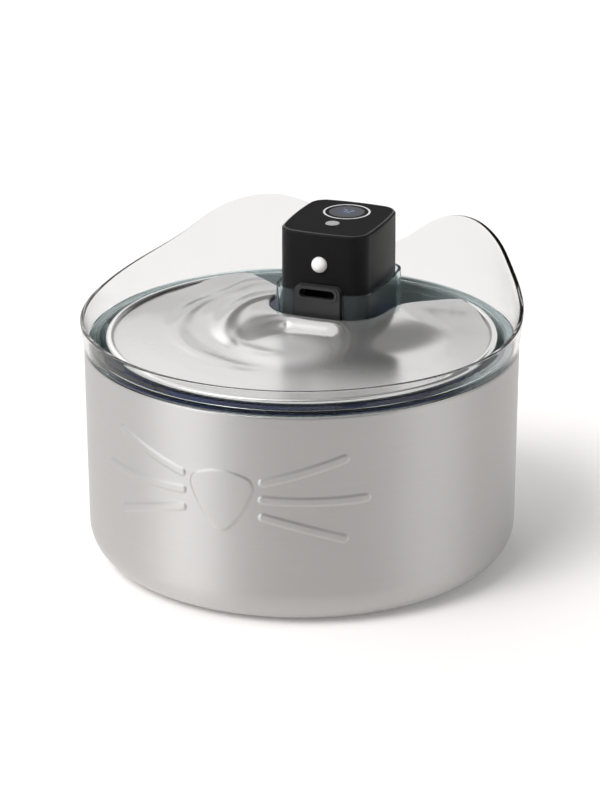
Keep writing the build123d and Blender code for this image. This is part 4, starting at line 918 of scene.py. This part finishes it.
def plate_mesh():
    """Points and faces of the plate: its edge in rows, then its top and underside."""
    notch = half_notch()
    tip = math.atan2(notch[-1][0], -notch[-1][1])
    rim_turns = np.linspace(tip, -tip, RIM_POINTS)
    rim = PLATE_RADIUS * np.stack([np.sin(rim_turns), -np.cos(rim_turns)], 1)
    mirrored_notch = notch[::-1] * (-1, 1)
    loop = np.vstack([notch[:-1], rim, mirrored_notch[1:]])
    loop = smoothed(evenly(loop, LOOP_STEP)[:-1], LOOP_SMOOTHING)
    inwards = -closed_leftwards(loop)

    on_rim = grown(np.linalg.norm(loop, axis=1), *BEAD_STARTS)
    rows = []
    for (bead_in, bead_up), (roll_in, roll_up) in zip(BEAD, ROLL):
        depth = on_rim * bead_in + (1.0 - on_rim) * roll_in
        places = loop + inwards * depth[:, None]
        rolled = plate_surface(places, notch) + roll_up
        beaded = BEAD_Z + bead_up if bead_up is not None else rolled
        rows.append(np.column_stack([places, on_rim * beaded + (1.0 - on_rim) * rolled]))
    count = len(loop)
    ring_points = np.concatenate(rows)
    faces = grid_faces(len(rows), count, close_columns=True)

    inner_loop = rows[0][:, :2]
    field = []
    for row, y in enumerate(np.arange(-FIELD_REACH, FIELD_REACH, FIELD_STEP * FIELD_ROW)):
        for x in np.arange(-FIELD_REACH, FIELD_REACH, FIELD_STEP) + (row % 2) * FIELD_STEP / 2:
            field.append((x, y))
    field = np.array(field)
    near = distance_to(field, np.vstack([inner_loop, inner_loop[:1]]))
    field = field[near > FIELD_STEP * FIELD_MARGIN]
    flat = [Vector(place) for place in np.vstack([inner_loop, field])]
    cut = geometry.delaunay_2d_cdt(flat, [], [list(range(count))], 1, 1e-6)
    verts, tris, origin = cut[0], cut[2], cut[3]
    places, ids = [], []
    for new, olds in enumerate(origin):
        old = olds[0] if olds else -1
        if 0 <= old < count:
            ids.append(("loop", old))
        else:
            ids.append(("field", len(places)))
            places.append(tuple(verts[new]))
    tops = plate_surface(np.array(places), notch)
    base = len(ring_points)
    top_points = np.column_stack([places, tops])
    low_points = np.column_stack([places, tops - PLATE_STEEL])
    points = np.vstack([ring_points, top_points, low_points])
    top_starts = {"loop": 0, "field": base}
    low_starts = {"loop": (len(rows) - 1) * count, "field": base + len(places)}
    for face in tris:
        corners = [ids[vertex] for vertex in face]
        faces.append(tuple(top_starts[kind] + i for kind, i in corners))
        faces.append(tuple(low_starts[kind] + i for kind, i in reversed(corners)))
    return points, faces


def build_plate():
    points, faces = plate_mesh()
    add_piece(
        "notched_plate", "plate", points, faces, "plate steel", ["drinking_plate"], 60.0
    )


# --- Pump column ---------------------------------------------------------------------------------
COLUMN_Y = 51.0
HOUSING_TOP = 153.7
TOP_LIP_BELOW = 6.0
TOP_LIP_INSET = 1.02
TOP_LIP_DROP = 0.17
TOP_LIP_HALF = (0.42, 0.4)


def outline_at(node_name, height, count=240, centre=(0.0, COLUMN_Y), far=60.0):
    """Outer outline of a CAD node at a height, read from outside inwards round its centre."""
    tree = search_tree(node_name)
    places = []
    for turn in np.linspace(0.0, 2.0 * math.pi, count, endpoint=False):
        way = Vector((math.cos(turn), math.sin(turn), 0.0))
        start = Vector((centre[0] * MM, centre[1] * MM, height * MM)) + way * far * MM
        hit = tree.ray_cast(start, -way)[0]
        places.append((hit.x / MM, hit.y / MM))
    return np.array(places)


def build_top_lip():
    """Small rounded lip between the housing and its top panel."""
    loop = outline_at("upper_housing", HOUSING_TOP - TOP_LIP_BELOW)
    half_width, half_height = TOP_LIP_HALF
    rows = []
    for turn in np.radians(np.arange(0.0, 360.0, 30.0)):
        depth = TOP_LIP_INSET + half_width * math.cos(turn)
        height = HOUSING_TOP - TOP_LIP_DROP + half_height * math.sin(turn)
        rows.append(np.column_stack([loop + depth * closed_leftwards(loop), np.full(len(loop), height)]))
    faces = grid_faces(len(rows), len(loop), close_rows=True, close_columns=True)
    add_piece("top_lip", "pump", np.concatenate(rows), faces, "black gloss")


SEGMENTS = {"7": "abc", "2": "abged"}
SEGMENT_LINES = {
    "a": ((0.0, 2.0), (1.0, 2.0)), "b": ((1.0, 2.0), (1.0, 1.0)), "c": ((1.0, 1.0), (1.0, 0.0)),
    "d": ((0.0, 0.0), (1.0, 0.0)), "e": ((0.0, 0.0), (0.0, 1.0)), "g": ((0.0, 1.0), (1.0, 1.0)),
}
DIGIT_PLACES = (("7", (-3.1, 60.2)), ("2", (0.5, 60.2)))
SEGMENT_LENGTH = 2.3
SEGMENT_HALF = 0.27
SEGMENT_GAP = 0.16
DIGITS_LOW = HOUSING_TOP - 0.02
DIGITS_HIGH = HOUSING_TOP + 0.06


def build_digits():
    """Two lit seven-segment digits just above the display window."""
    points, faces = [], []
    for digit, start in DIGIT_PLACES:
        for name in SEGMENTS[digit]:
            one, two = (np.array(end) * SEGMENT_LENGTH + start for end in SEGMENT_LINES[name])
            way = unit(two - one)
            one, two = one + way * SEGMENT_GAP, two - way * SEGMENT_GAP
            way = way * SEGMENT_HALF
            side = np.array([-way[1], way[0]])
            rim = [one, one + way + side, two - way + side, two, two - way - side, one + way - side]
            base = len(points)
            points += [(*place, DIGITS_LOW) for place in rim] + [(*place, DIGITS_HIGH) for place in rim]
            faces.append(tuple(base + 6 + i for i in range(6)))
            faces.append(tuple(base + i for i in reversed(range(6))))
            for i in range(6):
                j = (i + 1) % 6
                faces.append((base + i, base + j, base + 6 + j, base + 6 + i))
    add_piece("display_digits", "pump", points, faces, "digits", sharp=30.0)


LENS_PLACE = (0.0, 24.0 * MM, 138.2 * MM)


def build_lens():
    """Closed dome of small flat facets in front of the motion sensor."""
    recipe = Recipe("lens_facets", {"Radius": 4.0 * MM, "Depth behind": 1.9 * MM})
    ball = recipe.node(
        "GeometryNodeMeshIcoSphere", None, {"Radius": recipe.size("Radius"), "Subdivisions": 3}
    )
    facets = recipe.node("GeometryNodeDualMesh", None, {0: ball})
    x, y, z = recipe.parts(recipe.node("GeometryNodeInputPosition"))
    flat_back = recipe.node(
        "ShaderNodeCombineXYZ", None, {0: x, 1: y.math("MINIMUM", recipe.size("Depth behind")), 2: z}
    )
    dome = recipe.node("GeometryNodeSetPosition", None, {"Geometry": facets, "Position": flat_back})
    placed = recipe.moved(dome, LENS_PLACE)
    recipe.piece("faceted_lens", "pump", placed, "lens", "white_lens", ["pir_lens"], 5.0)


COILS_PLACE = (0.0, 54.0 * MM, 36.56 * MM)
TURNS_PER_COIL = 10
POLES = 4


def build_coil_turns():
    """Copper turns wound round the four stator poles."""
    recipe = Recipe(
        "coil_turns",
        {"Wire": 0.46 * MM, "Across": 7.6 * MM, "Height": 14.6 * MM, "Corner": 1.0 * MM, "Inner": 8.83 * MM},
    )
    wire = recipe.size("Wire")
    loop = recipe.node(
        "GeometryNodeCurvePrimitiveQuadrilateral",
        None,
        {"Width": recipe.size("Height"), "Height": recipe.size("Across")},
    )
    rounded = recipe.node(
        "GeometryNodeFilletCurve",
        {"mode": "POLY"},
        {"Curve": loop, "Radius": recipe.size("Corner"), "Count": 3},
    )
    section = recipe.node("GeometryNodeCurvePrimitiveCircle", None, {"Resolution": 6, "Radius": wire * 0.5})
    turn = recipe.node("GeometryNodeCurveToMesh", None, {"Curve": rounded, "Profile Curve": section})
    upright = recipe.moved(turn, turn=(0.0, math.radians(90.0), 0.0))
    step = recipe.node("ShaderNodeCombineXYZ", None, {0: wire})
    start = recipe.node("ShaderNodeCombineXYZ", None, {0: recipe.size("Inner")})
    row = recipe.node(
        "GeometryNodeMeshLine", None, {"Count": TURNS_PER_COIL, "Start Location": start, "Offset": step}
    )
    coil = recipe.node("GeometryNodeInstanceOnPoints", None, {"Points": row, "Instance": upright})
    poles = recipe.node("GeometryNodeMeshLine", None, {"Count": POLES, "Offset": (0.0, 0.0, 0.0)})
    turned = recipe.node(
        "ShaderNodeCombineXYZ", None, {2: recipe.node("GeometryNodeInputIndex") * math.radians(360.0 / POLES)}
    )
    coils = recipe.node(
        "GeometryNodeInstanceOnPoints", None, {"Points": poles, "Instance": coil, "Rotation": turned}
    )
    placed = recipe.moved(coils, COILS_PLACE)
    recipe.piece("coil_turns", "pump", placed, "copper", "copper_wire")


SPOT_SEED, SIZE_SEED, TURN_SEED = 7, 11, 13


def build_carbon_grains():
    """Loose grains on top of the carbon bed."""
    recipe = Recipe("carbon_grains", {"Grain": 0.8 * MM, "Grains per square metre": 45000.0})
    bed = recipe.node("GeometryNodeObjectInfo", None, {"Object": NODES["carbon_bed"]}, "Geometry")
    up = recipe.parts(recipe.node("GeometryNodeInputNormal"))[2]
    spots = recipe.node(
        "GeometryNodeDistributePointsOnFaces",
        None,
        {
            "Mesh": bed,
            "Selection": up.math("GREATER_THAN", 0.9),
            "Density": recipe.size("Grains per square metre"),
            "Seed": SPOT_SEED,
        },
    )
    grain = recipe.node(
        "GeometryNodeMeshIcoSphere", None, {"Radius": recipe.size("Grain"), "Subdivisions": 1}
    )
    sizes = recipe.node(
        "FunctionNodeRandomValue", {"data_type": "FLOAT"}, {2: 0.5, 3: 1.0, 8: SIZE_SEED}, 1
    )
    turns = recipe.node(
        "FunctionNodeRandomValue",
        {"data_type": "FLOAT_VECTOR"},
        {0: (0.0, 0.0, 0.0), 1: (6.2, 6.2, 6.2), 8: TURN_SEED},
    )
    grains = recipe.node(
        "GeometryNodeInstanceOnPoints",
        None,
        {"Points": spots, "Instance": grain, "Rotation": turns, "Scale": sizes},
    )
    recipe.piece("carbon_grains", "filter", grains, "carbon", "carbon_black", sharp=20.0)


build_top_lip()
build_digits()
build_lens()
build_coil_turns()
build_carbon_grains()
build_bowl()
build_guard()
build_plate()


# --- Floor, light and camera ----------------------------------------------------------------------


WHITE = (1.0, 1.0, 1.0, 1.0)
FLOOR_REACH = 6.0
FLOOR_TONE = (0.85, 0.825, 0.815)
FLOOR_GLOW = 0.12


def studio_floor():
    """Pale floor; a little of its tone is a glow that only seen, mirrored and see-through rays meet."""
    reach = FLOOR_REACH
    mesh = bpy.data.meshes.new("studio_floor")
    corners = [(-reach, -reach, 0), (reach, -reach, 0), (reach, reach, 0), (-reach, reach, 0)]
    mesh.from_pydata(corners, [], [(0, 1, 2, 3)])
    floor = bpy.data.objects.new("studio_floor", mesh)
    bpy.context.scene.collection.objects.link(floor)
    f = Finish("pale_floor")
    seen = (f.ray("camera") + f.ray("transmission") + f.ray("glossy")).clamp()
    glow = f.node("ShaderNodeEmission", None, {"Color": WHITE, "Strength": seen * FLOOR_GLOW})
    matt = f.node("ShaderNodeBsdfDiffuse", None, {"Color": shade(FLOOR_TONE)})
    both = f.node("ShaderNodeAddShader", None, {0: matt, 1: glow})
    output_free(f, "ShaderNodeOutputMaterial", {0: both})
    mesh.materials.append(f.material)


STUDIO_LEVEL = 0.2
BACKDROP_LEVEL = 0.84
OVERHEAD_LEVEL = 0.8
# Each panel: azimuth from the front towards the right, half width and softness in degrees, strength.
PANELS = ((-42.0, 14.0, 12.0, 1.9), (95.0, 14.0, 13.0, 0.8))


def studio_world():
    """White to seen and see-through rays; for light and mirror images, a dim studio.

    The studio has a pale backdrop behind, a soft light high on the left and two tall panels.
    """
    world = bpy.data.worlds.new("studio")
    world.use_nodes = True
    bpy.context.scene.world = world
    w = Sheet(world.node_tree)
    x, y, z = w.parts(w.node("ShaderNodeTexCoord", output=0))
    level = (x * x + y * y + 0.0001) ** 0.5

    def panel(azimuth, wide, soft, strength):
        turn = math.radians(azimuth)
        facing = (x * math.sin(turn) - y * math.cos(turn)) / level
        near = math.cos(math.radians(wide + soft))
        far = math.cos(math.radians(wide - soft))
        return facing.ramp(near, far) * strength

    side = x / level
    behind = (y / level).ramp(-0.1, 0.5) * side.ramp(0.3, -0.2) * side.ramp(-0.95, -0.6)
    behind = behind * (z + 0.4 * side).ramp(0.46, 0.3)
    overhead = (z * 0.7 - x * 0.71).ramp(0.64, 0.79)
    light = STUDIO_LEVEL + BACKDROP_LEVEL * behind + OVERHEAD_LEVEL * overhead
    for azimuth, wide, soft, level_here in PANELS:
        light = light + panel(azimuth, wide, soft, level_here)
    white = (w.ray("camera") + w.ray("transmission")).clamp()
    strength = white + (1.0 - white) * light
    colour = w.node("ShaderNodeBackground", None, {"Color": WHITE, "Strength": strength})
    output_free(w, "ShaderNodeOutputWorld", {0: colour})


def soft_lamp(name, azimuth, rise, wide, power):
    """Far soft lamp; its azimuth is from the front towards the right, all three angles in degrees."""
    data = bpy.data.lights.new(name, "SUN")
    data.angle = math.radians(wide)
    data.energy = power
    lamp = bpy.data.objects.new(name, data)
    lamp.rotation_euler = (math.radians(90.0 - rise), 0.0, math.radians(azimuth))
    lamp.visible_glossy = False
    bpy.context.scene.collection.objects.link(lamp)


# Angles in degrees, distances in metres, lens and sensor in millimetres.
CAMERA_TURN, CAMERA_RISE, CAMERA_ROLL = 21.2, 20.51, -0.127
CAMERA_AIM = (0.0, 0.0, 0.0765)
CAMERA_SHIFT = 0.00088
CAMERA_DISTANCE = 2.1
CAMERA_LENS = 194.78
CAMERA_SENSOR = 36.0
CAMERA_CLIP = (0.05, 50.0)


def studio_camera():
    """Long lens from the right of the front, looking down on the plate."""
    turn, rise, roll = (math.radians(angle) for angle in (CAMERA_TURN, CAMERA_RISE, CAMERA_ROLL))
    right = Vector((math.cos(turn), math.sin(turn), 0.0))
    back = Vector(
        (math.sin(turn) * math.cos(rise), -math.cos(turn) * math.cos(rise), math.sin(rise))
    )
    up = back.cross(right)
    data = bpy.data.cameras.new("camera")
    data.lens = CAMERA_LENS
    data.sensor_width = CAMERA_SENSOR
    data.clip_start, data.clip_end = CAMERA_CLIP
    camera = bpy.data.objects.new("camera", data)
    turned = Matrix((right, up, back)).transposed() @ Matrix.Rotation(roll, 3, "Z")
    spot = Vector(CAMERA_AIM) - CAMERA_SHIFT * right + CAMERA_DISTANCE * back
    camera.matrix_world = Matrix.Translation(spot) @ turned.to_4x4()
    bpy.context.scene.collection.objects.link(camera)
    bpy.context.scene.camera = camera


studio_floor()
studio_world()
soft_lamp("key_lamp", azimuth=-21.0, rise=48.0, wide=30.0, power=1.7)
studio_camera()
bpy.context.scene.view_settings.view_transform = "Standard"
